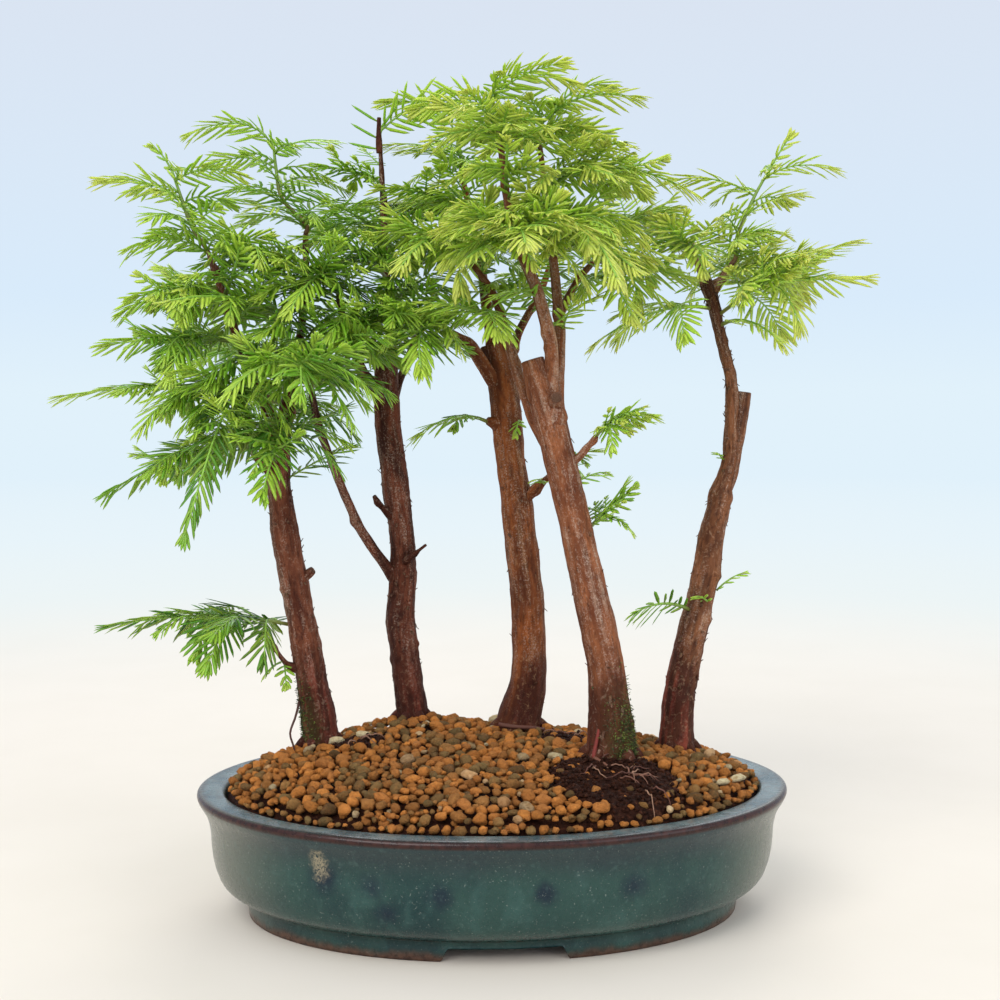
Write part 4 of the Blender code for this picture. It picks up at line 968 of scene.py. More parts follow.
class Graph:
    """A material's node tree, built from its Principled shader back."""

    def __init__(self, name, roughness=0.6):
        self.material = bpy.data.materials.new(name)
        self.material.use_nodes = True
        self.tree = self.material.node_tree
        self.shader = self.tree.nodes["Principled BSDF"]
        self.shader.inputs["Roughness"].default_value = roughness

    def node(self, kind, **settings):
        """A node with its settings."""
        node = self.tree.nodes.new(kind)
        for key, value in settings.items():
            setattr(node, key, value)
        return node

    def feed(self, socket, value):
        """Links an output to a socket, or sets the socket's own value."""
        if isinstance(value, bpy.types.NodeSocket):
            self.tree.links.new(value, socket)
        else:
            socket.default_value = (*value, 1.0) if socket.type == "RGBA" and len(value) == 3 else value

    def place(self):
        """Object coordinates, which are the frame's metres."""
        return self.node("ShaderNodeTexCoord").outputs["Object"]

    def attribute(self, name, output="Vector"):
        """A value kept on the mesh."""
        return self.node("ShaderNodeAttribute", attribute_name=name).outputs[output]

    def tone(self):
        """The three numbers of the tone kept on the mesh."""
        return self.split(self.attribute("tone", "Color"))

    def split(self, vector):
        """Three numbers of a vector or a tone."""
        node = self.node("ShaderNodeSeparateXYZ")
        self.feed(node.inputs[0], vector)
        return node.outputs[0], node.outputs[1], node.outputs[2]

    def scaled(self, vector, scale, shift=(0.0, 0.0, 0.0)):
        """A vector scaled and moved."""
        node = self.node("ShaderNodeMapping")
        self.feed(node.inputs["Vector"], vector)
        node.inputs["Scale"].default_value = scale
        node.inputs["Location"].default_value = shift
        return node.outputs[0]

    def noise(self, vector, scale, detail=3.0, roughness=0.55, distortion=0.0):
        """Soft noise from 0 to 1."""
        node = self.node("ShaderNodeTexNoise")
        self.feed(node.inputs["Vector"], vector)
        node.inputs["Scale"].default_value = scale
        node.inputs["Detail"].default_value = detail
        node.inputs["Roughness"].default_value = roughness
        node.inputs["Distortion"].default_value = distortion
        return node.outputs[0]

    def cells(self, vector, scale, feature="F1"):
        """Distance in a pattern of cells."""
        node = self.node("ShaderNodeTexVoronoi", feature=feature)
        self.feed(node.inputs["Vector"], vector)
        node.inputs["Scale"].default_value = scale
        return node.outputs["Distance"]

    def distance(self, vector, point):
        """Distance from a point."""
        node = self.node("ShaderNodeVectorMath", operation="DISTANCE")
        self.feed(node.inputs[0], vector)
        node.inputs[1].default_value = point
        return node.outputs["Value"]

    def sum(self, operation, first, second=0.0, clamp=False):
        """A sum of two numbers."""
        node = self.node("ShaderNodeMath", operation=operation, use_clamp=clamp)
        self.feed(node.inputs[0], first)
        self.feed(node.inputs[1], second)
        return node.outputs[0]

    def share(self, value, low, high, smooth=True):
        """A value mapped from low..high to 0..1."""
        node = self.node("ShaderNodeMapRange", interpolation_type="SMOOTHSTEP" if smooth else "LINEAR")
        self.feed(node.inputs["Value"], value)
        node.inputs["From Min"].default_value = low
        node.inputs["From Max"].default_value = high
        return node.outputs[0]

    def ramp(self, value, stops):
        """Colours along a value."""
        node = self.node("ShaderNodeValToRGB")
        self.feed(node.inputs[0], value)
        elements = node.color_ramp.elements
        while len(elements) < len(stops):
            elements.new(0.5)
        for element, (position, color) in zip(elements, stops):
            element.position = position
            element.color = (*color, 1.0)
        return node.outputs[0]

    def mix(self, share, first, second):
        """Two colours mixed."""
        node = self.node("ShaderNodeMix", data_type="RGBA")
        self.feed(node.inputs[0], share)
        self.feed(node.inputs[6], first)
        self.feed(node.inputs[7], second)
        return node.outputs[2]

    def tint(self, color, share, strength, tint):
        """A colour with some of another over it, where share is high."""
        return self.mix(self.sum("MULTIPLY", share, strength), color, tint)

    def bump(self, height, distance, strength=1.0, normal=None):
        """A relief finer than the mesh. distance is in metres."""
        node = self.node("ShaderNodeBump")
        node.inputs["Strength"].default_value = strength
        node.inputs["Distance"].default_value = distance
        self.feed(node.inputs["Height"], height)
        if normal:
            self.feed(node.inputs["Normal"], normal)
        return node.outputs[0]

    def finish(self, color, roughness=None, normal=None):
        """Joins the results to the shader."""
        self.feed(self.shader.inputs["Base Color"], color)
        if roughness is not None:
            self.feed(self.shader.inputs["Roughness"], roughness)
        if normal:
            self.feed(self.shader.inputs["Normal"], normal)
        return self.material


def leaf_material():
    """Soft needles, yellow-green where they are young and deep green inside the crown, partly as painted
    shade.
    """
    g = Graph("needle_green", 0.42)
    youth_and_shade, along_needle, chance = g.tone()
    # Painted shade: the low end of this ramp is the deep green of the inner, lower crown, and the high end
    # is partly painted light on the upper, outer fronds.
    color = g.ramp(youth_and_shade, (
        (0.0, srgb(30, 60, 10)), (0.28, srgb(76, 128, 28)), (0.5, srgb(132, 180, 44)),
        (0.72, srgb(178, 212, 70)), (1.0, srgb(208, 222, 92)),
    ))
    color = g.mix(g.share(chance, 0.3, 1.6), color, srgb(172, 194, 66))
    mottle = g.noise(g.place(), 900.0)
    color = g.tint(color, g.share(mottle, 0.35, 0.75), 0.2, srgb(66, 112, 30))
    color = g.tint(color, g.share(along_needle, 0.3, 0.0), 0.4, srgb(178, 202, 92))
    bronze = g.sum("MULTIPLY", g.share(youth_and_shade, 0.8, 1.0), g.share(along_needle, 0.2, 0.9))
    color = g.tint(color, bronze, 0.16, srgb(200, 156, 92))
    normal = g.bump(g.noise(g.scaled(g.place(), (1.0, 1.0, 0.4)), 2600.0), 0.0002, 0.35)
    shader = g.shader
    shader.inputs["Subsurface Weight"].default_value = 0.25
    shader.inputs["Subsurface Radius"].default_value = (0.7, 1.0, 0.25)
    shader.inputs["Subsurface Scale"].default_value = 0.0016
    shader.inputs["Specular IOR Level"].default_value = 0.42
    return g.finish(color, g.share(mottle, -1.0, 2.6), normal)


def shoot_material():
    """Green ribs that turn brown towards the wood."""
    g = Graph("young_shoot", 0.5)
    wood = g.tone()[0]
    color = g.ramp(wood, (
        (0.0, srgb(140, 186, 66)), (0.45, srgb(122, 150, 62)), (0.75, srgb(140, 110, 64)),
        (1.0, srgb(112, 66, 44)),
    ))
    mottle = g.noise(g.scaled(g.place(), (1.0, 1.0, 0.35)), 800.0, 4.0)
    color = g.tint(color, g.share(mottle, 0.4, 0.8), 0.35, srgb(88, 58, 36))
    return g.finish(color, 0.5, g.bump(mottle, 0.0004, 0.5))


def bark_material(name, main, dark, pale, red):
    """Fibrous bark, paler in streaks and with lichen, darker and redder at the base, and darker in its
    grooves, partly as painted shade.
    """
    main, dark, pale, red = (srgb(*color) for color in (main, dark, pale, red))
    g = Graph("bark_" + name, 0.75)
    g.shader.inputs["Specular IOR Level"].default_value = 0.15
    grain = g.attribute("grain")
    groove, sawn, mossy = g.tone()
    height = g.split(g.place())[2]
    broad = g.noise(g.scaled(grain, (1.0, 1.0, 0.3)), 0.13, 3.0, 0.55, 0.6)
    streaks = g.noise(g.scaled(grain, (1.0, 1.0, 0.1)), 0.34, 4.0, 0.6, 0.4)
    fibre = g.noise(g.scaled(grain, (1.0, 1.0, 0.06)), 2.1, 4.0, 0.65)
    specks = g.noise(grain, 1.5, 4.0, 0.7)
    flakes = g.noise(g.scaled(grain, (1.0, 1.0, 0.3)), 1.0, 3.0, 0.6)
    color = g.mix(g.share(broad, 0.3, 0.68), dark, main)
    color = g.tint(color, g.share(streaks, 0.52, 0.7), 0.4, pale)
    blotches = g.noise(g.scaled(grain, (1.0, 1.0, 0.7)), 0.62, 5.0, 0.72, 0.8)
    color = g.tint(color, g.share(fibre, 0.52, 0.3), 0.42, dark)
    color = g.tint(color, g.share(flakes, 0.6, 0.68), 0.55, srgb(46, 22, 15))
    lichen = g.sum("MULTIPLY", g.share(streaks, 0.42, 0.6), g.share(specks, 0.5, 0.6))
    color = g.tint(color, lichen, 0.6, srgb(196, 170, 152))
    base = g.sum("ADD", height, g.sum("MULTIPLY", broad, 0.05))
    low = g.share(base, 0.135, 0.096)
    deep = g.mix(g.share(streaks, 0.46, 0.74), srgb(62, 27, 18), red)
    color = g.tint(color, low, 0.85, deep)
    color = g.tint(color, g.share(blotches, 0.54, 0.66), 0.32, pale)
    color = g.tint(color, g.share(blotches, 0.44, 0.36), 0.6, dark)
    # The grooves are darker, partly the fissures' own colour and partly painted shade.
    color = g.tint(color, groove, 0.5, srgb(44, 22, 18))
    green = g.sum("MULTIPLY", mossy, g.share(specks, 0.36, 0.6))
    color = g.tint(color, green, 0.75, srgb(62, 72, 28))
    rings = g.noise(g.scaled(grain, (1.0, 1.0, 0.0)), 2.4, 3.0, 0.6, 1.5)
    wood = g.mix(g.share(rings, 0.35, 0.7), srgb(96, 62, 48), srgb(160, 122, 98))
    color = g.mix(sawn, color, wood)
    normal = g.bump(fibre, 0.0009, 0.8)
    normal = g.bump(flakes, 0.0008, 0.7, normal)
    normal = g.bump(specks, 0.0005, 0.6, normal)
    return g.finish(color, g.share(specks, -0.7, 1.2), normal)


def moss_material():
    """Short dark moss."""
    g = Graph("moss", 0.8)
    chance = g.tone()[0]
    color = g.ramp(chance, ((0.0, srgb(34, 42, 16)), (0.6, srgb(74, 88, 32)), (1.0, srgb(118, 132, 50))))
    return g.finish(color, 0.8, g.bump(g.noise(g.place(), 3000.0), 0.0002, 0.4))


def pebble_material():
    """Rough clay grit in ochre, orange, olive grey and cream."""
    g = Graph("clay_grit", 0.9)
    g.shader.inputs["Specular IOR Level"].default_value = 0.12
    hue, light, cream = g.tone()
    grain = g.attribute("grain")
    color = g.ramp(hue, (
        (0.0, srgb(238, 152, 74)), (0.22, srgb(224, 142, 70)), (0.42, srgb(210, 134, 70)),
        (0.62, srgb(192, 128, 68)), (0.76, srgb(170, 126, 74)), (0.9, srgb(140, 114, 72)),
        (1.0, srgb(114, 84, 52)),
    ))
    broad = g.noise(grain, 0.55, 4.0, 0.6)
    fine = g.noise(grain, 2.6, 5.0, 0.7)
    pits = g.cells(grain, 1.7)
    color = g.tint(color, g.share(broad, 0.42, 0.7), 0.4, srgb(160, 94, 44))
    color = g.tint(color, g.share(fine, 0.5, 0.78), 0.55, srgb(232, 178, 112))
    color = g.tint(color, g.share(pits, 0.22, 0.06), 0.45, srgb(72, 36, 16))
    color = g.mix(cream, color, g.mix(g.share(broad, 0.35, 0.75), srgb(244, 224, 178), srgb(206, 174, 126)))
    shade = g.node("ShaderNodeHueSaturation")
    g.feed(shade.inputs["Color"], color)
    g.feed(shade.inputs["Value"], g.share(light, -1.7, 1.1, False))
    normal = g.bump(fine, 0.0011, 0.9)
    normal = g.bump(pits, 0.0006, 0.6, normal)
    return g.finish(shade.outputs[0], 0.9, normal)


def soil_material():
    """Damp dark soil."""
    g = Graph("dark_soil", 0.9)
    g.shader.inputs["Specular IOR Level"].default_value = 0.1
    place = g.place()
    clods = g.noise(place, 420.0, 5.0, 0.7)
    fine = g.noise(place, 1500.0, 4.0, 0.7)
    color = g.ramp(clods, ((0.3, srgb(24, 10, 5)), (0.55, srgb(56, 28, 17)), (0.75, srgb(106, 62, 40))))
    color = g.tint(color, g.share(fine, 0.6, 0.76), 0.6, srgb(136, 92, 62))
    normal = g.bump(clods, 0.0016, 0.9)
    normal = g.bump(fine, 0.0007, 0.8, normal)
    return g.finish(color, g.share(fine, 1.2, 0.0), normal)


def root_material():
    """Thin roots, from tan to red-brown."""
    g = Graph("roots", 0.7)
    chance = g.tone()[0]
    color = g.ramp(chance, (
        (0.0, srgb(66, 36, 28)), (0.4, srgb(120, 70, 52)), (0.8, srgb(176, 132, 104)),
        (1.0, srgb(136, 44, 32)),
    ))
    mottle = g.noise(g.place(), 1600.0)
    color = g.tint(color, mottle, 0.4, srgb(60, 34, 26))
    return g.finish(color, 0.7, g.bump(mottle, 0.0003, 0.5))


def glaze_material():
    """A mottled teal glaze that runs pale blue on the rim and breaks to brown at the lip and foot, with a
    painted highlight of pale grey towards the tray's ends.
    """
    g = Graph("teal_glaze", 0.16)
    g.shader.inputs["Specular IOR Level"].default_value = 0.28
    place = g.place()
    lip, rim, bare = g.tone()
    east, _, height = g.split(place)
    broad = g.noise(place, 26.0, 3.0, 0.55, 0.4)
    runs = g.noise(g.scaled(place, (1.0, 1.0, 0.45)), 70.0, 4.0, 0.6, 0.3)
    mist = g.noise(place, 420.0, 4.0, 0.6)
    speck = g.noise(place, 1500.0, 2.0, 0.5)
    color = g.mix(g.share(broad, 0.36, 0.62), srgb(20, 52, 52), srgb(38, 68, 62))
    color = g.tint(color, g.share(runs, 0.5, 0.72), 0.5, srgb(58, 92, 86))
    for x, y, z, size in GLAZE_SPOTS:
        away = g.sum("ADD", g.distance(place, in_frame((x, y, z))), g.sum("MULTIPLY", runs, 0.010))
        spot = g.share(away, (size + 7.0) * MM, 5.5 * MM)
        color = g.tint(color, spot, 0.9, srgb(6, 28, 44))
    # Painted highlight: the wall turns pale grey towards both ends of the tray.
    ends = g.share(g.sum("ABSOLUTE", g.sum("SUBTRACT", east, float(CENTRE[0]))), 0.07, 0.108)
    upper = g.share(g.sum("ADD", height, g.sum("MULTIPLY", runs, 0.012)), 0.036, 0.047)
    color = g.tint(color, upper, 0.7, srgb(44, 54, 58))
    color = g.tint(color, ends, 0.75, srgb(118, 116, 102))
    color = g.tint(color, g.share(mist, 0.56, 0.72), 0.2, srgb(96, 124, 116))
    color = g.tint(color, g.share(speck, 0.66, 0.74), 0.5, srgb(150, 158, 148))
    rim_color = g.mix(g.share(runs, 0.34, 0.62), srgb(52, 78, 84), srgb(100, 116, 116))
    rim_color = g.tint(rim_color, g.share(mist, 0.5, 0.62), 0.45, srgb(76, 66, 58))
    color = g.mix(rim, color, rim_color)
    lip_color = g.mix(g.share(mist, 0.35, 0.7), srgb(38, 12, 8), srgb(62, 28, 20))
    color = g.mix(lip, color, lip_color)
    clay = g.mix(g.share(mist, 0.3, 0.7), srgb(70, 42, 32), srgb(110, 74, 56))
    worn = g.share(g.sum("ADD", height, g.sum("MULTIPLY", runs, 0.006)), 0.0072, 0.0036)
    color = g.mix(g.sum("MAXIMUM", bare, g.sum("MULTIPLY", worn, 0.8)), color, clay)
    crease = g.share(g.sum("ABSOLUTE", g.sum("SUBTRACT", height, 0.0078)), 0.0014, 0.0002)
    color = g.tint(color, crease, g.share(mist, 0.35, 0.6), srgb(40, 36, 28))
    x, y, z = in_frame(STAIN)
    away = g.distance(g.scaled(place, (1.0, 1.0, STAIN_STRETCH)), (x, y, z * STAIN_STRETCH))
    stained = g.sum("ADD", away, g.sum("MULTIPLY", mist, 0.006))
    stained = g.share(stained, 0.0075, 0.0042)
    color = g.tint(color, stained, g.share(speck, 0.34, 0.56), srgb(150, 138, 112))
    roughness = g.sum("ADD", g.share(mist, -0.6, 3.2, False), g.sum("MULTIPLY", stained, 0.4))
    roughness = g.sum("ADD", roughness, g.sum("MULTIPLY", bare, 0.5), True)
    normal = g.bump(runs, 0.0008, 0.35)
    normal = g.bump(mist, 0.00025, 0.4, normal)
    normal = g.bump(g.share(speck, 0.7, 0.62), 0.0002, 0.4, normal)
    g.shader.inputs["Coat Weight"].default_value = 0.12
    g.shader.inputs["Coat Roughness"].default_value = 0.08
    return g.finish(color, roughness, normal)


def plastic_material():
    """The drainage mesh."""
    g = Graph("black_mesh", 0.55)
    mottle = g.noise(g.place(), 1800.0)
    color = g.mix(g.share(mottle, 0.3, 0.8), srgb(26, 26, 28), srgb(52, 50, 48))
    return g.finish(color, 0.55, g.bump(mottle, 0.0002, 0.4))


def floor_material():
    """A plain floor, warm white near by, that far off fades into a painted glow of the pale blue behind it.
    """
    g = Graph("pale_floor", 0.9)
    away = g.distance(g.place(), (0.0, 0.0, 0.0))
    mottle = g.noise(g.place(), 14.0)
    near = g.tint(FLOOR_COLORS[0], g.share(mottle, 0.3, 0.8), 0.5, FLOOR_COLORS[1])
    far = g.share(away, *FLOOR_FADE)
    # Painted light: far off the floor glows, from warm white to the horizon's pale blue, and its own colour
    # fades to black.
    glow = g.ramp(g.sum("MULTIPLY", away, 1.0 / 3.0), (
        (0.15, srgb(243, 244, 240)), (0.3, srgb(237, 245, 246)), (0.5, srgb(232, 244, 250)), (1.0, HORIZON),
    ))
    shader = g.shader
    g.feed(shader.inputs["Emission Color"], glow)
    g.feed(shader.inputs["Emission Strength"], far)
    shader.inputs["Specular IOR Level"].default_value = 0.0
    return g.finish(g.mix(far, near, (0.0, 0.0, 0.0)), 0.9)


def needle_shape():
    """Corners and faces of a flat closed needle: unit length along X, unit half width and thickness."""
    rows = ((0.0, 0.4, 0.8), (0.3, 1.0, 1.0), (0.82, 0.82, 0.9))
    corners = []
    for x, width, thickness in rows:
        corners += [(x, width, 0.0), (x, 0.0, 0.3 * thickness)]
        corners += [(x, -width, 0.0), (x, 0.0, -0.7 * thickness)]
    corners.append((1.0, 0.0, 0.0))
    faces = [(3, 2, 1, 0)]
    for row in range(len(rows) - 1):
        for i in range(4):
            j = (i + 1) % 4
            faces.append((4 * row + i, 4 * row + j, 4 * row + 4 + j, 4 * row + 4 + i))
    last = 4 * (len(rows) - 1)
    for i in range(4):
        faces.append((last + i, last + (i + 1) % 4, last + 4))
    return np.array(corners), faces


NEEDLE_CORNERS, NEEDLE_FACES = needle_shape()


class Blades:
    """Needles, flakes or moss gathered to be built in one go."""

    def __init__(self):
        self.rows = []

    def add(self, base, heading, normal, length, width, thickness, bow, tone, curl=0.0, towards=None):
        """A blade from its base along heading. bow and curl are how far its tip falls and turns aside."""
        heading = heading.normalized()
        across = normal.cross(heading).normalized()
        normal = heading.cross(across)
        if towards and across.dot(towards) < 0:
            curl = -curl
        sizes = (length, width / 2, thickness, bow)
        self.rows.append((*base, *heading, *across, *normal, *sizes, *tone, curl))

    def build(self, patch, slot=0):
        """Adds every blade to a patch."""
        if not self.rows:
            return
        rows = np.array(self.rows)
        base, heading, across, normal = (rows[:, None, i:i + 3] for i in (0, 3, 6, 9))
        length, width, thickness, bow = (rows[:, None, i:i + 1] for i in (12, 13, 14, 15))
        curl = rows[:, None, 18:19]
        x, y, z = (NEEDLE_CORNERS[None, :, i:i + 1] for i in range(3))
        points = base + heading * x * length + across * (y * width + curl * x ** 2)
        points = points + normal * (z * thickness - bow * x ** 2)
        tones = np.ones((len(rows), len(NEEDLE_CORNERS), 4))
        tones[:, :, 0] = rows[:, 16:17]
        tones[:, :, 1] = NEEDLE_CORNERS[None, :, 0]
        tones[:, :, 2] = rows[:, 17:18]
        patch.add_copies(points, NEEDLE_FACES, tones, slot)


def frames_along(centres):
    """Unit directions, sides and other sides along a line of centres, turned as little as possible."""
    centres = [Vector(c) for c in centres]
    directions = tangents(centres)
    side = Vector((1.0, 0.0, 0.0))
    if abs(directions[0].x) > 0.9:
        side = Vector((0.0, 1.0, 0.0))
    frames = []
    for k, direction in enumerate(directions):
        if k:
            side = directions[k - 1].rotation_difference(direction) @ side
        side = (side - direction * side.dot(direction)).normalized()
        frames.append((direction, side, direction.cross(side)))
    return frames


def tube_faces(rings, sides):
    """Quads between rings of corners, and fans of one face at both ends."""
    faces = [tuple(reversed(range(sides)))]
    for k in range(rings - 1):
        for i in range(sides):
            j = (i + 1) % sides
            faces.append((k * sides + i, k * sides + j, (k + 1) * sides + j, (k + 1) * sides + i))
    faces.append(tuple(range((rings - 1) * sides, rings * sides)))
    return faces


def add_tube(patch, centres, radii, sides, tones, slot=0):
    """A plain closed tube. tones has one colour for each ring."""
    points = []
    for centre, radius, (_, side, other) in zip(centres, radii, frames_along(centres)):
        for i in range(sides):
            angle = 2 * math.pi * i / sides
            points.append(Vector(centre) + (side * math.cos(angle) + other * math.sin(angle)) * radius)
    faces = tube_faces(len(centres), sides)
    patch.add([tuple(p) for p in points], faces, np.repeat(tones, sides, axis=0), slot)


def fine_share(u):
    """Length of a needle against the longest, by its place on the frond."""
    if u < 0.35:
        return blend(FINE_ROOT_SHARE, 1.0, math.sin(math.pi / 2 * u / 0.35))
    return 1.0 - FINE_TIP_LOSS * ((u - 0.35) / 0.65) ** 1.5


def pair_places(length, lowest, first):
    """Places along a frond of its pairs of needles, closer and closer towards the tip."""
    places = []
    share = lowest
    while share < FINE_END:
        places.append(share)
        u = min(1.0, max(0.0, (share - first) / (1.0 - first)))
        share += blend(*PAIR_STEPS, u ** 2) / length
    return places


def add_fine_frond(patch, blades, frond, youth_and_shade, rng):
    """A frond with every needle on its rib."""
    start, middle, end, roll, bare = frond
    length = (middle - start).length + (end - middle).length
    first = STEM_BARE if bare else FROND_ROOT
    longest = NEEDLE_LENGTH * min(1.0, length / FULL_NEEDLES_FROM)
    if bare:
        start = start - arc_direction(start, middle, end, 0.0) * ROOTED
    begin, finish = STEM_RADII if bare else FROND_RADII
    shares = [i / RIB_STEPS for i in range(RIB_STEPS + 1)]
    centres = [arched(start, middle, end, share) for share in shares]
    radii = [blend(begin, finish, share) for share in shares]
    wood = 0.62 if bare else 0.25
    tones = [(max(0.0, wood * (1.0 - 1.6 * share)), 0.0, 0.0, 1.0) for share in shares]
    add_tube(patch, centres, radii, RIB_SIDES, np.array(tones), 1)
    lowest = BARE_NEEDLES_FROM if bare else first * 0.6
    twist = rng.uniform(-0.12, 0.12)
    for share in pair_places(length, lowest, first):
        u = min(1.0, max(0.0, (share - first) / (NEEDLES_END - first)))
        young = 0.62 if bare and share < first else 1.0
        direction = arc_direction(start, middle, end, share)
        side, top = frond_frame(direction, roll + twist * u)
        for turn in (-1, 1):
            centre = arched(start, middle, end, share + turn * 0.3 / length)
            reach = longest * fine_share(u) * young * rng.uniform(0.82, 1.08)
            lean = math.radians(blend(*FINE_LEANS, u ** 1.3) + rng.uniform(-8, 8))
            rise = rng.uniform(-0.16, 0.2) - NEEDLE_DROOP
            heading = direction * math.cos(lean) + side * (turn * math.sin(lean)) + top * rise
            normal = (top + side * rng.uniform(-0.4, 0.4)).normalized()
            width = NEEDLE_WIDTH * rng.uniform(0.85, 1.1)
            tone = (min(1.0, max(0.0, youth_and_shade + 0.24 * u ** 2 + rng.uniform(-0.07, 0.07))), rng.random())
            bow = reach * rng.uniform(0.02, 0.26)
            curl = reach * rng.uniform(0.04, 0.22)
            blades.add(centre, heading, normal, reach, width, NEEDLE_THICKNESS, bow, tone, curl, direction)
    direction = arc_direction(start, middle, end, 1.0)
    side, top = frond_frame(direction, roll + twist)
    for spread in TIP_NEEDLES:
        heading = direction + side * spread + top * rng.uniform(-0.2, 0.2)
        tone = (min(1.0, youth_and_shade + 0.28), rng.random())
        reach = longest * rng.uniform(0.42, 0.58)
        bow = reach * rng.uniform(0.05, 0.2)
        blades.add(end, heading, top, reach, NEEDLE_WIDTH * 0.9, NEEDLE_THICKNESS, bow, tone)


def youth_and_shade_of(tree, end, rng):
    """How young and how lit a frond's needles look: paler high up, at the outside and on some trees, and
    darker deep in the crown as painted shade.
    """
    away = end - CROWN_MIDDLE
    height = away.z / CROWN_HEIGHT
    outside = min(1.0, math.hypot(away.x, away.y) / CROWN_REACH)
    youth_and_shade = INNER_YOUTH_AND_SHADE + YOUTH_AND_LIGHT_FOR_HEIGHT * height + YOUTH_AND_LIGHT_FOR_REACH * outside + TREE_YOUTH_AND_LIGHT[tree]
    youth_and_shade += rng.uniform(-YOUTH_BY_CHANCE, YOUTH_BY_CHANCE)
    return min(YOUTH_LIMITS[1], max(YOUTH_LIMITS[0], youth_and_shade))


def wood_thicket():
    """Every trunk and branch as the solids have it."""
    wood = Thicket()
    for tree in TRUNKS:
        for name in wood_names(tree):
            bm = wood_solid(tree, name)[2]
            wood.add(bm, "wood")
            bm.free()
    return wood


def clear_of_wood(wood, frond):
    """The frond itself or its least bend that misses the wood."""
    start, middle, end, roll, bare = frond
    for turn, lift in BENDS[:FILLING_BENDS]:
        trial = (start, bent(start, middle, turn, lift), bent(start, end, turn, lift), roll, bare)
        bm = bmesh.new()
        add_frond(bm, trial)
        crosses = wood.hits(bm)
        bm.free()
        if not crosses:
            return trial
    return None


def filling_fronds(tree, shoot, fronds, wood, rng):
    """Shorter fronds that fill a stem out between those of the solids."""
    trials = []
    count, longest, shortest = LEADER_FILLING if shoot else STEM_FILLING
    for k in range(count):
        share = k / (count - 1)
        if shoot:
            root, _, _ = along(shoot, [0.0] * len(shoot), blend(0.06, 0.97, share))
            angle = math.radians(GOLDEN_ANGLE * k + rng.uniform(-20, 20))
            heading = Vector((math.cos(angle), math.sin(angle), 0.0))
            length = blend(longest, shortest, share) * rng.uniform(0.8, 1.15)
            bow = root + (heading + UP * 0.8).normalized() * length * 0.5
            tip = root + (heading + UP * rng.uniform(-0.1, 0.6)).normalized() * length
            trials.append((root, bow, tip, faced_out(root, tip, rng.uniform(-0.3, 0.3)), False))
        else:
            stem = fronds[0]
            span = (stem[2] - stem[0]).length
            length = min(blend(longest, shortest, share), span * 0.55) * rng.uniform(0.75, 1.15)
            turn = (1 if k % 2 else -1) * blend(70.0, 34.0, share) + rng.uniform(-16, 16)
            place = blend(0.05, 0.62, share)
            droop = rng.uniform(-0.6, HANG[tree])
            trials.append(side_frond(stem, place, turn, length, droop, rng.uniform(-0.4, 0.4)))
    kept = [clear_of_wood(wood, trial) for trial in trials]
    return [frond for frond in kept if frond]


def branch_fronds(route, radii, rng):
    """Short fronds that spring straight from wood."""
    length = sum((b - a).length for a, b in zip(route, route[1:]))
    fronds = []
    count = int(length * 0.8 / BRANCH_FILLING_STEP)
    first = rng.uniform(0.0, 360.0)
    for k in range(count):
        centre, direction, radius = along(route, radii, 0.2 + 0.78 * (k + 0.5) / count)
        angle = math.radians(first + GOLDEN_ANGLE * k)
        side, other = frond_frame(direction, 0.0)
        away = side * math.cos(angle) + other * math.sin(angle)
        reach = rng.uniform(*BRANCH_FILLING)
        root = centre + away * (radius - 0.4)
        bow = root + (away + direction * 0.35 + UP * 0.2).normalized() * reach * 0.5
        tip = root + (away + direction * 0.5 + UP * rng.uniform(-0.5, 0.3)).normalized() * reach
        fronds.append((root, bow, tip, faced_out(root, tip, rng.uniform(-0.5, 0.5)), False))
    return fronds


def make_leafy_pieces(leaf, shoot_skin):
    """A piece with every needle for each leafy stem of the solids."""
    rng = random.Random(SEED + 7)
    wood = wood_thicket()
    for name, (shoot, fronds) in leafy_plans().items():
        patch = Patch()
        blades = Blades()
        tree = name.split("_")[1]
        if shoot:
            steps = len(shoot) * 3
            points = smooth_route(shoot, steps)
            radii = [blend(SHOOT_RADIUS, 0.5, i / steps) for i in range(steps + 1)]
            tones = [(1.0 - 0.75 * i / steps, 0.0, 0.0, 1.0) for i in range(steps + 1)]
            add_tube(patch, points, radii, 8, np.array(tones), 1)
        filling = [] if name in PLAIN_SPRIGS else filling_fronds(tree, shoot, fronds, wood, rng)
        for frond in fronds + filling:
            if frond in fronds or frond[2].z > FILLING_FROM[tree]:
                add_fine_frond(patch, blades, frond, youth_and_shade_of(tree, frond[2], rng), rng)
        blades.build(patch)
        build_piece("fine_" + name, patch, (leaf, shoot_skin), (name,))


def cover_fronds(tree, tubes, rng):
    """The stems that close one tree's crown in front, with their side fronds."""
    fronds = []
    for owner, branch, share, goal, side_count in COVER_STEMS:
        if owner == tree:
            stem, sides = side_stem_plan(tubes[tree, branch], share, goal, side_count, rng)
            fronds.append(stem)
            fronds += [side_frond(stem, *side) for side in sides]
    return fronds


def add_lone_needles(blades):
    """The single needles on the bare end of the back leader."""
    x, y, _ = BARE_TIP[1]
    for height, aside, up in LONE_NEEDLES:
        blades.add(Vector((x, y, height)), Vector((aside, -0.1, up)), Vector((0.0, -1.0, 0.3)),
                   LONE_LENGTH, LONE_WIDTH, NEEDLE_THICKNESS, LONE_BOW, (0.4, 0.4))


def add_sprigs(patch, blades, rng):
    """The small sprigs on bare wood."""
    for start, end, roll in SPRIGS:
        start, end = Vector(start), Vector(end)
        middle = (start + end) / 2 + UP * (end - start).length * 0.15
        add_fine_frond(patch, blades, (start, middle, end, roll, False), SPRIG_YOUTH, rng)


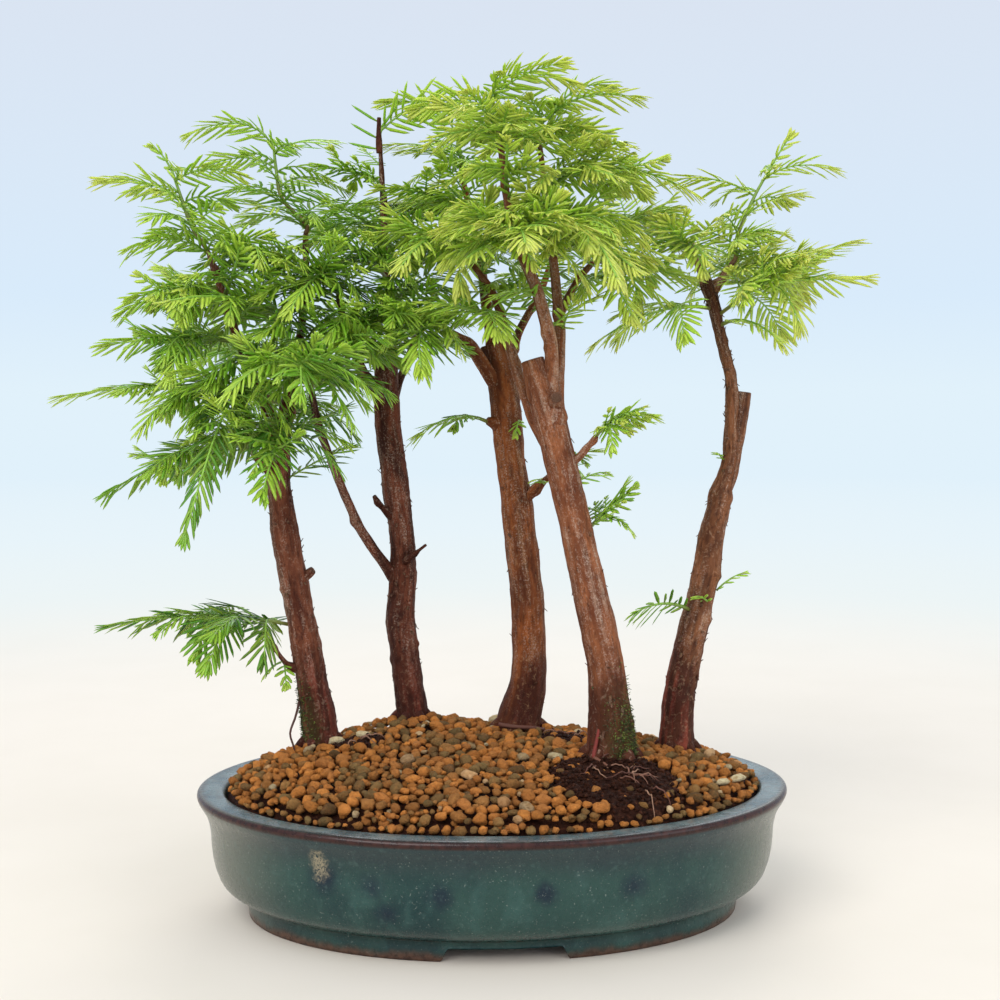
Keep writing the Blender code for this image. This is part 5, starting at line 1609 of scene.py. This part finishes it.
def make_inner_fronds(leaf, shoot_skin):
    """Short fronds along the woody branches, stems in front of them, and the small sprigs on bare wood."""
    rng = random.Random(SEED + 11)
    tubes = wood_tubes()
    for tree in TRUNKS:
        patch = Patch()
        blades = Blades()
        for branch in wood_names(tree):
            if branch in BARE_WOOD:
                continue
            for frond in branch_fronds(*wood_route(tree, branch), rng):
                if frond[2].z > INNER_FROM[tree]:
                    # Painted shade: the fronds along the woody branches inside the crown are made 0.08
                    # darker.
                    add_fine_frond(patch, blades, frond, youth_and_shade_of(tree, frond[2], rng) - 0.08, rng)
        for frond in cover_fronds(tree, tubes, rng):
            add_fine_frond(patch, blades, frond, youth_and_shade_of(tree, frond[2], rng), rng)
        if tree == "back":
            add_lone_needles(blades)
        if tree == "front":
            add_sprigs(patch, blades, rng)
        blades.build(patch)
        build_piece("inner_fronds_" + tree, patch, (leaf, shoot_skin))


def even_route(points, radii, spacing, easing):
    """A route at even steps, eased so that it has no corners, with its radii and lengths."""
    rows = np.array([[*point, radius] for point, radius in zip(points, radii)], float)
    steps = np.linalg.norm(np.diff(rows[:, :3], axis=0), axis=1)
    lengths = np.concatenate([[0.0], np.cumsum(steps)])
    count = max(4, int(lengths[-1] / spacing))
    places = np.linspace(0.0, lengths[-1], count + 1)
    dense = np.stack([np.interp(places, lengths, rows[:, i]) for i in range(4)], axis=1)
    for _ in range(easing):
        dense[1:-1] = (dense[:-2] + 2 * dense[1:-1] + dense[2:]) / 4
    return dense[:, :3], dense[:, 3], places


def bark_height(grain, offset, scale):
    """Relief of fibrous bark and how deep in a groove it is."""
    fibre = noise.noise(Vector((grain.x * 0.42, grain.y * 0.42, grain.z * 0.05)) + offset)
    groove = math.exp(-(fibre / 0.055) ** 2)
    lump = noise.noise(grain * 0.1 + offset) * 0.9
    fine = noise.noise(Vector((grain.x * 1.3, grain.y * 1.3, grain.z * 0.3)) + offset) * 0.4
    return (lump + fine - 0.5 * groove) * scale, groove


def rounded(places, widths):
    """Widths closed to a dome at both ends."""
    last = places[-1]
    ends = np.minimum(places / widths, (last - places) / widths)
    return widths * np.sqrt(np.clip(1.0 - (1.0 - np.clip(ends, 0.0, 1.0)) ** 2, 0.02, 1.0))


def add_wood(patch, points, radii, sides, spacing, offset, rng,
             relief=0.6, knobs=0, end="plain", moss=None):
    """A trunk, branch or root with bark relief and closed ends: plain, sawn or round."""
    easing = 40 if sides > 20 else 6
    centres, widths, places = even_route(points, radii, spacing, easing if end != "round" else 2)
    if sides <= 20:
        widths = widths * (1.0 + 0.3 * np.exp(-np.maximum(0.0, places - 5.0) / 3.0))
    if end == "round":
        widths = rounded(places, widths)
    mean = float(np.mean(widths))
    marks = [(rng.uniform(0.15, 0.95) * places[-1], rng.uniform(0, 2 * math.pi), rng.uniform(0.4, 1.1),
              rng.uniform(1.2, 2.4)) for _ in range(knobs)]
    frames = frames_along(centres)
    corners, grains, tones = [], [], []
    scale = relief * min(1.0, mean / 5.0)
    for centre, width, place, (_, side, other) in zip(centres, widths, places, frames):
        for i in range(sides):
            angle = 2 * math.pi * i / sides
            ray = side * math.cos(angle) + other * math.sin(angle)
            grain = Vector((math.cos(angle) * mean, math.sin(angle) * mean, place))
            height, groove = bark_height(grain, offset, scale)
            for mark_place, mark_angle, rise, reach in marks:
                if abs(place - mark_place) < 3 * reach:
                    turn = (angle - mark_angle + math.pi) % (2 * math.pi) - math.pi
                    near = (place - mark_place) ** 2 + (turn * width) ** 2
                    height += rise * math.exp(-near / reach ** 2)
            corner = Vector(centre) + ray * (width + height)
            corners.append(tuple(corner))
            grains.append(tuple(grain + offset))
            # Its first tone is how deep in a groove the corner lies, which the bark darkens partly as
            # painted shade.
            tones.append((groove * min(1.0, relief * 1.5), 0.0, moss_share(moss, corner, ray), 1.0))
    faces = tube_faces(len(centres), sides)[:-1]
    last = len(corners) - sides
    top = Vector(centres[-1])
    way = frames[-1][0]
    first = len(corners)
    corners += [tuple(Vector(corners[last + i]).lerp(top, 0.14) + way * 0.3) for i in range(sides)]
    corners += [tuple(Vector(corners[last + i]).lerp(top, 0.24) - way * 0.2) for i in range(sides)]
    corners.append(tuple(top - way * 0.1))
    rim = [(g[0] * 0.8, g[1] * 0.8, 0.0) for g in grains[last:last + sides]]
    grains += rim + rim + [(0.0, 0.0, 0.0)]
    cut = 1.0 if end == "sawn" else 0.0
    tones += [(0.0, cut * 0.4, 0.0, 1.0)] * sides + [(0.0, cut, 0.0, 1.0)] * (sides + 1)
    for i in range(sides):
        j = (i + 1) % sides
        faces.append((last + i, last + j, first + j, first + i))
        faces.append((first + i, first + j, first + sides + j, first + sides + i))
        faces.append((first + sides + i, first + sides + j, first + 2 * sides))
    patch.add(corners, faces, tones, 0, grains)
    return centres, widths, frames


def moss_share(moss, corner, ray):
    """How green the bark is there."""
    if not moss:
        return 0.0
    low, high, facing, _ = moss
    faced = max(0.0, ray.dot(Vector(facing).normalized()))
    lower = min(1.0, max(0.0, (high + 6 - corner.z) / (high - low)))
    return faced * lower


def add_flakes(blades, surface, count, rng):
    """Strips of bark that lift from the surface."""
    centres, widths, frames = surface
    for _ in range(count):
        k = rng.randrange(int(len(centres) * 0.15), len(centres) - 2)
        direction, side, other = frames[k]
        angle = rng.uniform(0, 2 * math.pi)
        ray = side * math.cos(angle) + other * math.sin(angle)
        base = Vector(centres[k]) + ray * (widths[k] - 0.2)
        way = direction if rng.random() < 0.5 else -direction
        heading = way + ray * rng.uniform(0.15, 0.7)
        tone = (rng.uniform(0.0, 0.5), rng.random())
        blades.add(base, heading, ray, rng.uniform(1.0, 2.6), rng.uniform(0.8, 1.6), 0.3, -0.3, tone)


def add_moss(blades, centres, widths, frames, moss, rng):
    """Short blades of moss over one side of a trunk's base."""
    low, high, facing, count = moss
    for _ in range(count):
        height = low + abs(rng.gauss(0, 0.45)) * (high - low)
        k = int(np.argmin(np.abs(centres[:, 2] - height)))
        direction = frames[k][0]
        ray = Vector(facing) + Vector((rng.gauss(0, 0.5), rng.gauss(0, 0.5), 0.0))
        ray = (ray - direction * ray.dot(direction)).normalized()
        base = Vector(centres[k]) + ray * (widths[k] + rng.uniform(-0.5, 0.3))
        heading = ray + Vector((rng.gauss(0, 0.6), rng.gauss(0, 0.6), rng.gauss(0.1, 0.6)))
        tone = (rng.random(), rng.random())
        blades.add(base, heading, direction, rng.uniform(0.6, 1.7), rng.uniform(0.3, 0.6), 0.2, 0.2, tone)


def add_foot_roots(patch, tree, offset, relief, rng):
    """The roots that spread from a trunk's foot and sink into the grit."""
    x, y, _, base = TRUNKS[tree][0]
    foot = Vector((x, y, ground(x, y)))
    radii = [base * share for share in FOOT_ROOT_RADII]
    for k in range(FOOT_ROOTS):
        angle = 2 * math.pi * (k + rng.uniform(-0.3, 0.3)) / FOOT_ROOTS
        way = Vector((math.cos(angle), math.sin(angle), 0.0))
        reach = base * rng.uniform(0.75, 1.0)
        start = foot + UP * FOOT_ROOT_RISE + way * base * 0.3
        knee = foot + UP * 0.6 + way * reach * 0.7
        end = foot - UP * FOOT_ROOT_RISE + way * reach
        add_wood(patch, (start, knee, end), radii, BRANCH_FINE_SIDES, BRANCH_STEP, offset, rng, relief)


def make_wood_pieces(barks, moss):
    """Each trunk with its branches, stubs, roots and flaking bark."""
    for number, tree in enumerate(TRUNKS):
        rng = random.Random(SEED + 20 + number)
        offset = Vector((17.0 * number, 9.0 * number, 31.0 * number))
        patch = Patch()
        flakes = Blades()
        mossy = Blades()
        relief = BARK_RELIEF[tree]
        route, radii = trunk_route(tree)
        base = TRUNKS[tree][0][3]
        radii = [base * share for share in ROOT_SHARES] + radii[3:]
        growth = MOSSY.get(tree)
        surface = add_wood(patch, route, radii, TRUNK_FINE_SIDES, TRUNK_STEP, offset, rng, relief,
                           KNOBS_PER_TRUNK, "sawn", growth)
        add_flakes(flakes, surface, FLAKES[tree], rng)
        for branch in BRANCHES[tree]:
            route, radii = branch_route(tree, branch)
            end = "round" if branch in ("burl", "knob") else "sawn"
            sides, step = (BRANCH_FINE_SIDES, BRANCH_STEP)
            if radii[0] > THICK_FROM:
                sides, step = (THICK_SIDES, THICK_STEP)
            add_wood(patch, route, radii, sides, step, offset, rng, relief, KNOBS_PER_BRANCH, end)
        if tree == "back":
            add_wood(patch, BARE_TIP, (1.0, 0.9, 0.85), BRANCH_FINE_SIDES, BRANCH_STEP, offset, rng, relief)
        if tree == "front":
            for start, stop, first, last in SCARS:
                add_wood(patch, (start, stop), (first, last), 24, 0.4, offset, rng, 0.5, 0, "sawn")
        add_foot_roots(patch, tree, offset, relief, rng)
        if growth:
            add_moss(mossy, *surface, growth, rng)
        flakes.build(patch)
        mossy.build(patch, 1)
        build_piece("wood_" + tree, patch, (barks[tree], moss), ("trunk_" + tree,))


def lump(rng, detail, roughness):
    """Corners and faces of a worn lump about one unit in radius."""
    bm = bmesh.new()
    bmesh.ops.create_icosphere(bm, subdivisions=detail, radius=1.0)
    shift = Vector((rng.uniform(0, 99), rng.uniform(0, 99), rng.uniform(0, 99)))
    for vert in bm.verts:
        way = vert.co.normalized()
        vert.co = way * (1.0 + roughness * noise.noise(way * 1.3 + shift)
                         + roughness * 0.5 * noise.noise(way * 3.1 + shift))
    for _ in range(8):
        flat = Vector((rng.gauss(0, 1), rng.gauss(0, 1), rng.gauss(0, 1))).normalized()
        limit = rng.uniform(0.62, 0.86)
        for vert in bm.verts:
            over = vert.co.dot(flat) - limit
            if over > 0:
                vert.co -= flat * over * 0.92
    corners = np.array([tuple(vert.co) for vert in bm.verts])
    faces = [tuple(vert.index for vert in face.verts) for face in bm.faces]
    bm.free()
    return corners, faces


def bare_share(x, y):
    """1 inside a bare mound of soil and 0 well outside it."""
    best = 0.0
    for cx, cy, half_x, half_y in BARE_SOIL:
        away = math.hypot((x - cx) / half_x, (y - cy) / half_y)
        away += 0.14 * noise.noise(Vector((x * 0.12, y * 0.12, 0.0)))
        best = max(best, min(1.0, max(0.0, (1.12 - away) / 0.24)))
    return best


def clear_of_trunks(x, y, size):
    """Whether a stone there misses every trunk."""
    for stations in TRUNKS.values():
        if math.hypot(x - stations[0][0], y - stations[0][1]) < stations[0][3] / 2 + size * 0.55:
            return False
    return True


class Taken:
    """Places that stones have taken, kept by square cells of the ground."""

    def __init__(self):
        self.cells = {}

    def cell(self, x, y):
        """The cell that a place is in."""
        return int(x // STONE_CELL), int(y // STONE_CELL)

    def add(self, x, y, size):
        """Keeps a stone's place."""
        self.cells.setdefault(self.cell(x, y), []).append((x, y, size))

    def fits(self, x, y, size):
        """Whether a stone there is clear of the others."""
        column, row = self.cell(x, y)
        for i in range(column - 1, column + 2):
            for j in range(row - 1, row + 2):
                for other_x, other_y, other in self.cells.get((i, j), ()):
                    if math.hypot(x - other_x, y - other_y) < (size + other) * PEBBLE_PACKING:
                        return False
        return True


def random_place(rng):
    """A place somewhere in the box of the tray."""
    return rng.uniform(-1, 1) * TRAY_LENGTH / 2, rng.uniform(-1, 1) * TRAY_WIDTH / 2


def edge_stones(taken, rng):
    """Stones set along the rim."""
    stones = []
    for _ in range(EDGE_TRIES):
        angle = rng.uniform(0, 2 * math.pi)
        size = rng.uniform(*EDGE_SIZES)
        away = EDGE_INSET + size * rng.uniform(0.3, 0.7)
        x = (TRAY_LENGTH / 2 - away) * math.cos(angle)
        y = (TRAY_WIDTH / 2 - away) * math.sin(angle)
        if bare_share(x, y) < 0.25 and x > LEFT_GAP and taken.fits(x, y, size):
            taken.add(x, y, size)
            stones.append((x, y, ground(x, y) + rng.uniform(-0.7, 0.3), size))
    return stones


def scattered_stones(rng):
    """Places and sizes of the stones of the top layer, the largest first."""
    taken = Taken()
    for x, y, size, _, _, _ in PALE_STONES:
        taken.add(x, y, size * 0.8)
    stones = edge_stones(taken, rng)
    for count, small, large in PEBBLE_SIZES:
        for _ in range(count * TRIES_PER_PEBBLE):
            x, y = random_place(rng)
            size = rng.uniform(small, large)
            if not inside_edge(x, y, size * 0.5) or not clear_of_trunks(x, y, size):
                continue
            if bare_share(x, y) > 0.25 and rng.random() > 0.02:
                continue
            if x < THIN_LEFT and size < 2.0 and rng.random() < 0.5:
                continue
            if taken.fits(x, y, size):
                taken.add(x, y, size)
                stones.append((x, y, ground(x, y) + rng.uniform(-0.5, 1.0) + size * 0.1, size))
            if len(stones) >= TOP_PEBBLES:
                return stones
    return stones


def buried_stones(rng):
    """Places and sizes of stones that show between those of the top layer."""
    stones = []
    while len(stones) < LOW_PEBBLES:
        x, y = random_place(rng)
        if inside_edge(x, y, 1.5) and bare_share(x, y) < 0.2 and clear_of_trunks(x, y, 1.0):
            stones.append((x, y, ground(x, y) - rng.uniform(1.2, 2.0), rng.uniform(1.3, 2.1)))
    return stones


def add_stones(patch, stones, shapes, rng, extra=()):
    """Every stone as a turned and squashed copy of one of a few shapes."""
    groups = [[] for _ in shapes]
    for x, y, z, size in stones:
        turn = Quaternion(UP, rng.uniform(0, 2 * math.pi))
        tilt = Quaternion(Vector((rng.gauss(0, 1), rng.gauss(0, 1), 0.0)).normalized(), rng.gauss(0, 0.35))
        sizes = [size * rng.uniform(*limits) for limits in ((0.95, 1.35), (0.8, 1.05), (0.66, 0.95))]
        matrix = (tilt @ turn).to_matrix() @ Matrix.Diagonal(sizes)
        cream = rng.uniform(*CREAM_SHARES) if rng.random() < CREAM_CHANCE else 0.0
        tone = (rng.random() ** 1.15, rng.random(), cream)
        rng.choice(groups).append((matrix, (x, y, z), tone))
    groups[0].extend(extra)
    for (corners, faces), group in zip(shapes, groups):
        matrices = np.array([[list(row) for row in matrix] for matrix, _, _ in group])
        places = np.array([place for _, place, _ in group])
        points = np.einsum("cij,nj->cni", matrices, corners) + places[:, None, :]
        tones = np.ones((len(group), len(corners), 4))
        tones[:, :, :3] = np.array([tone for _, _, tone in group])[:, None, :]
        patch.add_copies(points, faces, tones)


def make_grit_piece(material):
    """Every stone of the grit."""
    rng = random.Random(SEED + 3)
    pale = []
    for x, y, half_x, half_y, half_z, degrees in PALE_STONES:
        matrix = Matrix.Rotation(math.radians(degrees), 3, "Z") @ Matrix.Diagonal((half_x, half_y, half_z))
        pale.append((matrix, (x, y, ground(x, y) + half_z * 0.75), (0.5, 0.9, 1.0)))
    patch = Patch()
    add_stones(patch, scattered_stones(rng), [lump(rng, 2, 0.34) for _ in range(PEBBLE_SHAPES)], rng, pale)
    add_stones(patch, buried_stones(rng), [lump(rng, 1, 0.4) for _ in range(3)], rng)
    build_piece("grit_stones", patch, (material,), ("grit",))


def soil_height(x, y):
    """Top of the soil: under the grit, or a rough mound above it."""
    bare = bare_share(x, y)
    place = Vector((x, y, 0.0))
    rough = noise.noise(place * 0.35) * 0.9 + noise.noise(place * 1.1) * 0.7
    return ground(x, y) - 2.6 + bare * 3.6 + rough * (0.45 + 0.75 * bare)


def on_oval(inset, angle):
    """A place on the tray's oval, that far in from its outer edge."""
    return (TRAY_LENGTH / 2 - inset) * math.cos(angle), (TRAY_WIDTH / 2 - inset) * math.sin(angle)


def add_soil_body(patch):
    """The closed body of soil that fills the tray, with its rough top."""
    half_length = TRAY_LENGTH / 2 - EDGE_INSET
    half_width = TRAY_WIDTH / 2 - EDGE_INSET
    angles = [2 * math.pi * i / SOIL_SIDES for i in range(SOIL_SIDES)]
    points = [(0.0, 0.0, soil_height(0.0, 0.0))]
    for k in range(1, SOIL_RINGS + 1):
        share = k / SOIL_RINGS
        for angle in angles:
            x, y = half_length * share * math.cos(angle), half_width * share * math.sin(angle)
            points.append((x, y, soil_height(x, y)))
    for inset, height in SOIL_UNDER:
        points += [(*on_oval(inset, angle), height) for angle in angles]
    faces = [(0, 1 + i, 1 + (i + 1) % SOIL_SIDES) for i in range(SOIL_SIDES)]
    rings = SOIL_RINGS + len(SOIL_UNDER) - 1
    for k in range(rings):
        a, b = 1 + k * SOIL_SIDES, 1 + (k + 1) * SOIL_SIDES
        for i in range(SOIL_SIDES):
            j = (i + 1) % SOIL_SIDES
            faces.append((a + i, b + i, b + j, a + j))
    bottom = 1 + rings * SOIL_SIDES
    faces.append(tuple(reversed(range(bottom, bottom + SOIL_SIDES))))
    patch.add(points, faces, (0.3, 0.0, 0.0, 1.0))


def add_crumbs(patch, rng):
    """Crumbs that lie on the soil, most of them on the bare mounds."""
    corners, faces = lump(rng, 1, 0.5)
    crumbs = []
    while len(crumbs) < CRUMBS:
        x = rng.uniform(-1, 1) * (TRAY_LENGTH / 2 - EDGE_INSET)
        y = rng.uniform(-1, 1) * (TRAY_WIDTH / 2 - EDGE_INSET)
        if not inside_edge(x, y, 1.0) or (bare_share(x, y) < 0.3 and rng.random() < 0.93):
            continue
        size = rng.uniform(*CRUMB_SIZES)
        crumbs.append((x, y, soil_height(x, y) + size * 0.4, size, rng.uniform(0, 2 * math.pi)))
    x, y, z, size, turn = np.array(crumbs).T[:, :, None]
    cos, sin = np.cos(turn), np.sin(turn)
    copies = np.stack([
        (corners[:, 0] * cos - corners[:, 1] * sin) * size + x,
        (corners[:, 0] * sin + corners[:, 1] * cos) * size + y,
        corners[:, 2] * size * 0.8 + z], axis=2)
    patch.add_copies(copies, faces, np.full((len(crumbs), len(corners), 4), 0.3))


def add_rootlets(patch, rng):
    """Thin roots that wander over the bare mounds."""
    for k in range(ROOTLETS):
        cx, cy, half_x, half_y = BARE_SOIL[(1, 1, 0, 2)[k % 4]]
        angle = rng.uniform(0, 2 * math.pi)
        x = cx + half_x * 0.8 * rng.uniform(0.1, 1) * math.cos(angle)
        y = cy + half_y * 0.8 * rng.uniform(0.1, 1) * math.sin(angle)
        if k < ROOTLETS_TOGETHER:
            x, y = ROOTLETS_X + rng.uniform(-1, 1), ROOTLETS_Y + rng.uniform(-1, 1)
        heading = rng.uniform(0, 2 * math.pi)
        route = []
        lift = rng.uniform(0.6, 2.2)
        steps = rng.randint(7, 13)
        for i in range(steps):
            rise = lift * math.sin(math.pi * i / (steps - 1)) + 0.3
            route.append((x, y, soil_height(x, y) + rise))
            heading += rng.uniform(-0.5, 0.5)
            x += math.cos(heading) * ROOTLET_STEP
            y += math.sin(heading) * ROOTLET_STEP
        radii = [blend(rng.uniform(0.28, 0.42), 0.12, i / (steps - 1)) for i in range(steps)]
        add_tube(patch, route, radii, 5, np.tile((rng.uniform(0.2, 0.85), 0.0, 0.0, 1.0), (steps, 1)), 1)


def make_soil_piece(material, roots):
    """The soil with its crumbs and the thin roots that show on it."""
    rng = random.Random(SEED + 5)
    patch = Patch()
    add_soil_body(patch)
    add_crumbs(patch, rng)
    add_rootlets(patch, rng)
    build_piece("soil_bed", patch, (material, roots), ("soil",))


def make_root_piece(roots):
    """The thin root that hangs beside the left trunk and the thicker ones at the other bases."""
    patch = Patch()
    for route, first, last, tone in THIN_ROOTS:
        points = smooth_route(route, THIN_ROOT_STEPS)
        radii = [blend(first, last, i / THIN_ROOT_STEPS) for i in range(THIN_ROOT_STEPS + 1)]
        add_tube(patch, points, radii, 7, np.tile((tone, 0.0, 0.0, 1.0), (len(points), 1)))
    build_piece("thin_roots", patch, (roots,))


def tray_section():
    """Inset and height of each ring of the tray's surface."""
    section = []
    for run, steps in zip(TRAY_RUNS, TRAY_RUN_STEPS):
        points = smooth_route([(inset, 0.0, height) for inset, height in run], steps)
        section += [(p.x, p.z) for p in (points if not section else points[1:])]
    return section


def tray_angles():
    """Angles of the corners round the tray, closer at the slanted ends of the notches."""
    angles = [2 * math.pi * i / TRAY_FINE_SIDES for i in range(TRAY_FINE_SIDES)]
    for stop in NOTCH_STOPS:
        for inset in FOOT_INSETS:
            lean = math.acos(stop / (TRAY_LENGTH / 2 - inset))
            angles += [lean, math.pi - lean, math.pi + lean, 2 * math.pi - lean]
    return sorted(angles)


def tray_tone(inset, height):
    """How much of a ring is the lip's line, the pale rim and bare clay."""
    lip = 0.0
    if inset < LIP_INSET and height > 40:
        lip = min(1.0, max(0.0, 1.0 - abs(height - LIP_HEIGHT) / 1.5) * 2.4)
    rim = min(1.0, max(0.0, (inset - RIM_FROM) / 0.8)) if height > 46.2 else 0.0
    inner = 0.35 if 9.9 < inset < 12.5 and height > 20 else 0.0
    bare = 1.0 if height < 0.05 or (inset > 24.5 and height < 7.6) else 0.0
    return lip, max(rim, inner), bare, 1.0


def tray_height(x, y, inset, height):
    """Height of a corner: raised in the notches, and a little uneven on the outside and the rim."""
    z = height
    if 18.0 < inset < 25.7 and height < NOTCH_HEIGHT:
        edge = min(1.0, max(0.0, (NOTCH_HALF_WIDTH - abs(x)) / NOTCH_SLANT))
        z = max(height, NOTCH_HEIGHT * edge * edge * (3 - 2 * edge))
    if 0.0 < inset < 10.5:
        z += GLAZE_WAVE * noise.noise(Vector((x * 0.03, y * 0.03, 0.0)))
    return z


def drill_drains(tray):
    """Cuts the two drainage holes."""
    for side in (-1, 1):
        centre = CENTRE + np.array((side * DRAIN_SPACING / 2, 0.0, DRILL_HEIGHT)) * MM
        bpy.ops.mesh.primitive_cylinder_add(
            vertices=48, radius=DRAIN_RADIUS * MM, depth=2 * DRILL_HEIGHT * MM, location=centre)
        drill = bpy.context.active_object
        modifier = tray.modifiers.new("Drain", "BOOLEAN")
        modifier.operation = "DIFFERENCE"
        modifier.solver = "EXACT"
        modifier.object = drill
        bpy.context.view_layer.objects.active = tray
        bpy.ops.object.modifier_apply(modifier=modifier.name)
        bpy.data.objects.remove(drill, do_unlink=True)


def make_tray_piece(material):
    """The glazed tray in its true curves."""
    section = tray_section()
    angles = tray_angles()
    corners, tones = [], []
    for inset, height in section:
        for angle in angles:
            x, y = on_oval(inset, angle)
            corners.append((x, y, tray_height(x, y, inset, height)))
        tones += [tray_tone(inset, height)] * len(angles)
    patch = Patch()
    patch.add(corners, tube_faces(len(section), len(angles)), tones)
    tray = build_piece("glazed_tray", patch, (material,), ("tray",))
    bm = bmesh.new()
    bm.from_mesh(tray.data)
    bmesh.ops.remove_doubles(bm, verts=bm.verts, dist=1e-6)
    bmesh.ops.recalc_face_normals(bm, faces=bm.faces)
    bm.to_mesh(tray.data)
    bm.free()
    drill_drains(tray)


def make_screen_pieces(material):
    """A woven mesh square over each drainage hole."""
    low = FLOOR_TOP + SEAT_GAP
    wires = SCREEN_WIRES
    for name, side in (("drain_screen_left", -1), ("drain_screen_right", 1)):
        patch = Patch()
        x = side * DRAIN_SPACING / 2
        half = SCREEN_SIZE / 2 - 0.4
        for i in range(wires):
            place = -half + 2 * half * i / (wires - 1)
            for across in (False, True):
                route = []
                for k in range(4 * (wires - 1) + 1):
                    run = -half + half * k / (2 * (wires - 1))
                    swing = math.cos(math.pi * k / 4) * (-1) ** i * (1 if across else -1)
                    z = low + SCREEN_THICKNESS / 2 + 0.25 * swing
                    route.append((x + run, place, z) if across else (x + place, run, z))
                tones = np.tile((0.0, 0.0, 0.0, 1.0), (len(route), 1))
                add_tube(patch, route, [WIRE_RADIUS] * len(route), 6, tones)
        build_piece("mesh_" + name, patch, (material,), (name,))


def make_stage():
    """A plain pale floor, which far off is a painted glow."""
    bpy.ops.mesh.primitive_circle_add(
        vertices=96, radius=FLOOR_RADIUS, fill_type="NGON", location=(0.0, 0.0, -FLOOR_DROP))
    floor = bpy.context.active_object
    floor.name = "floor"
    floor.data.materials.append(floor_material())


def make_light(name, place, size, energy, color):
    """A large soft light aimed at the middle of the forest."""
    data = bpy.data.lights.new(name, "AREA")
    data.size = size
    data.energy = energy
    data.color = color
    light = bpy.data.objects.new(name, data)
    light.location = place
    light.rotation_euler = (Vector(LIGHT_AIM) - Vector(place)).to_track_quat("-Z", "Y").to_euler()
    bpy.context.scene.collection.objects.link(light)


def make_world():
    """Soft light from all round, pale blue above and nearly white at the horizon."""
    world = bpy.data.worlds.new("studio")
    world.use_nodes = True
    bpy.context.scene.world = world
    tree = world.node_tree
    background = tree.nodes["Background"]
    coordinates = tree.nodes.new("ShaderNodeTexCoord")
    split = tree.nodes.new("ShaderNodeSeparateXYZ")
    ramp = tree.nodes.new("ShaderNodeValToRGB")
    tree.links.new(coordinates.outputs["Generated"], split.inputs[0])
    tree.links.new(split.outputs[2], ramp.inputs[0])
    elements = ramp.color_ramp.elements
    elements.new(0.06)
    for element, position, color in zip(elements, (0.0, 0.06, 0.24), (
            HORIZON, srgb(217, 235, 251), srgb(218, 228, 242))):
        element.position = position
        element.color = (*color, 1.0)
    tree.links.new(ramp.outputs[0], background.inputs[0])
    background.inputs[1].default_value = 1.0


def make_camera():
    """The photograph's viewpoint."""
    data = bpy.data.cameras.new("camera")
    data.lens = CAMERA_LENS
    data.sensor_width = CAMERA_SENSOR
    data.clip_start = 0.01
    camera = bpy.data.objects.new("camera", data)
    camera.location = Vector(CAMERA_PLACE) * MM + Vector(CENTRE)
    camera.rotation_euler = (math.radians(90.0 - CAMERA_DOWN), 0.0, math.radians(CAMERA_TURN))
    bpy.context.scene.collection.objects.link(camera)
    bpy.context.scene.camera = camera


def main():
    """The camera, the light, the floor and every piece."""
    make_camera()
    make_world()
    make_stage()
    for light in LIGHTS:
        make_light(*light)
    barks = {tree: bark_material(tree, *colors) for tree, colors in BARK_COLORS.items()}
    make_tray_piece(glaze_material())
    make_screen_pieces(plastic_material())
    roots = root_material()
    make_soil_piece(soil_material(), roots)
    make_grit_piece(pebble_material())
    make_root_piece(roots)
    make_wood_pieces(barks, moss_material())
    leaf = leaf_material()
    shoot_skin = shoot_material()
    make_leafy_pieces(leaf, shoot_skin)
    make_inner_fronds(leaf, shoot_skin)
    bpy.context.scene.view_settings.view_transform = "Standard"
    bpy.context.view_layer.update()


main()
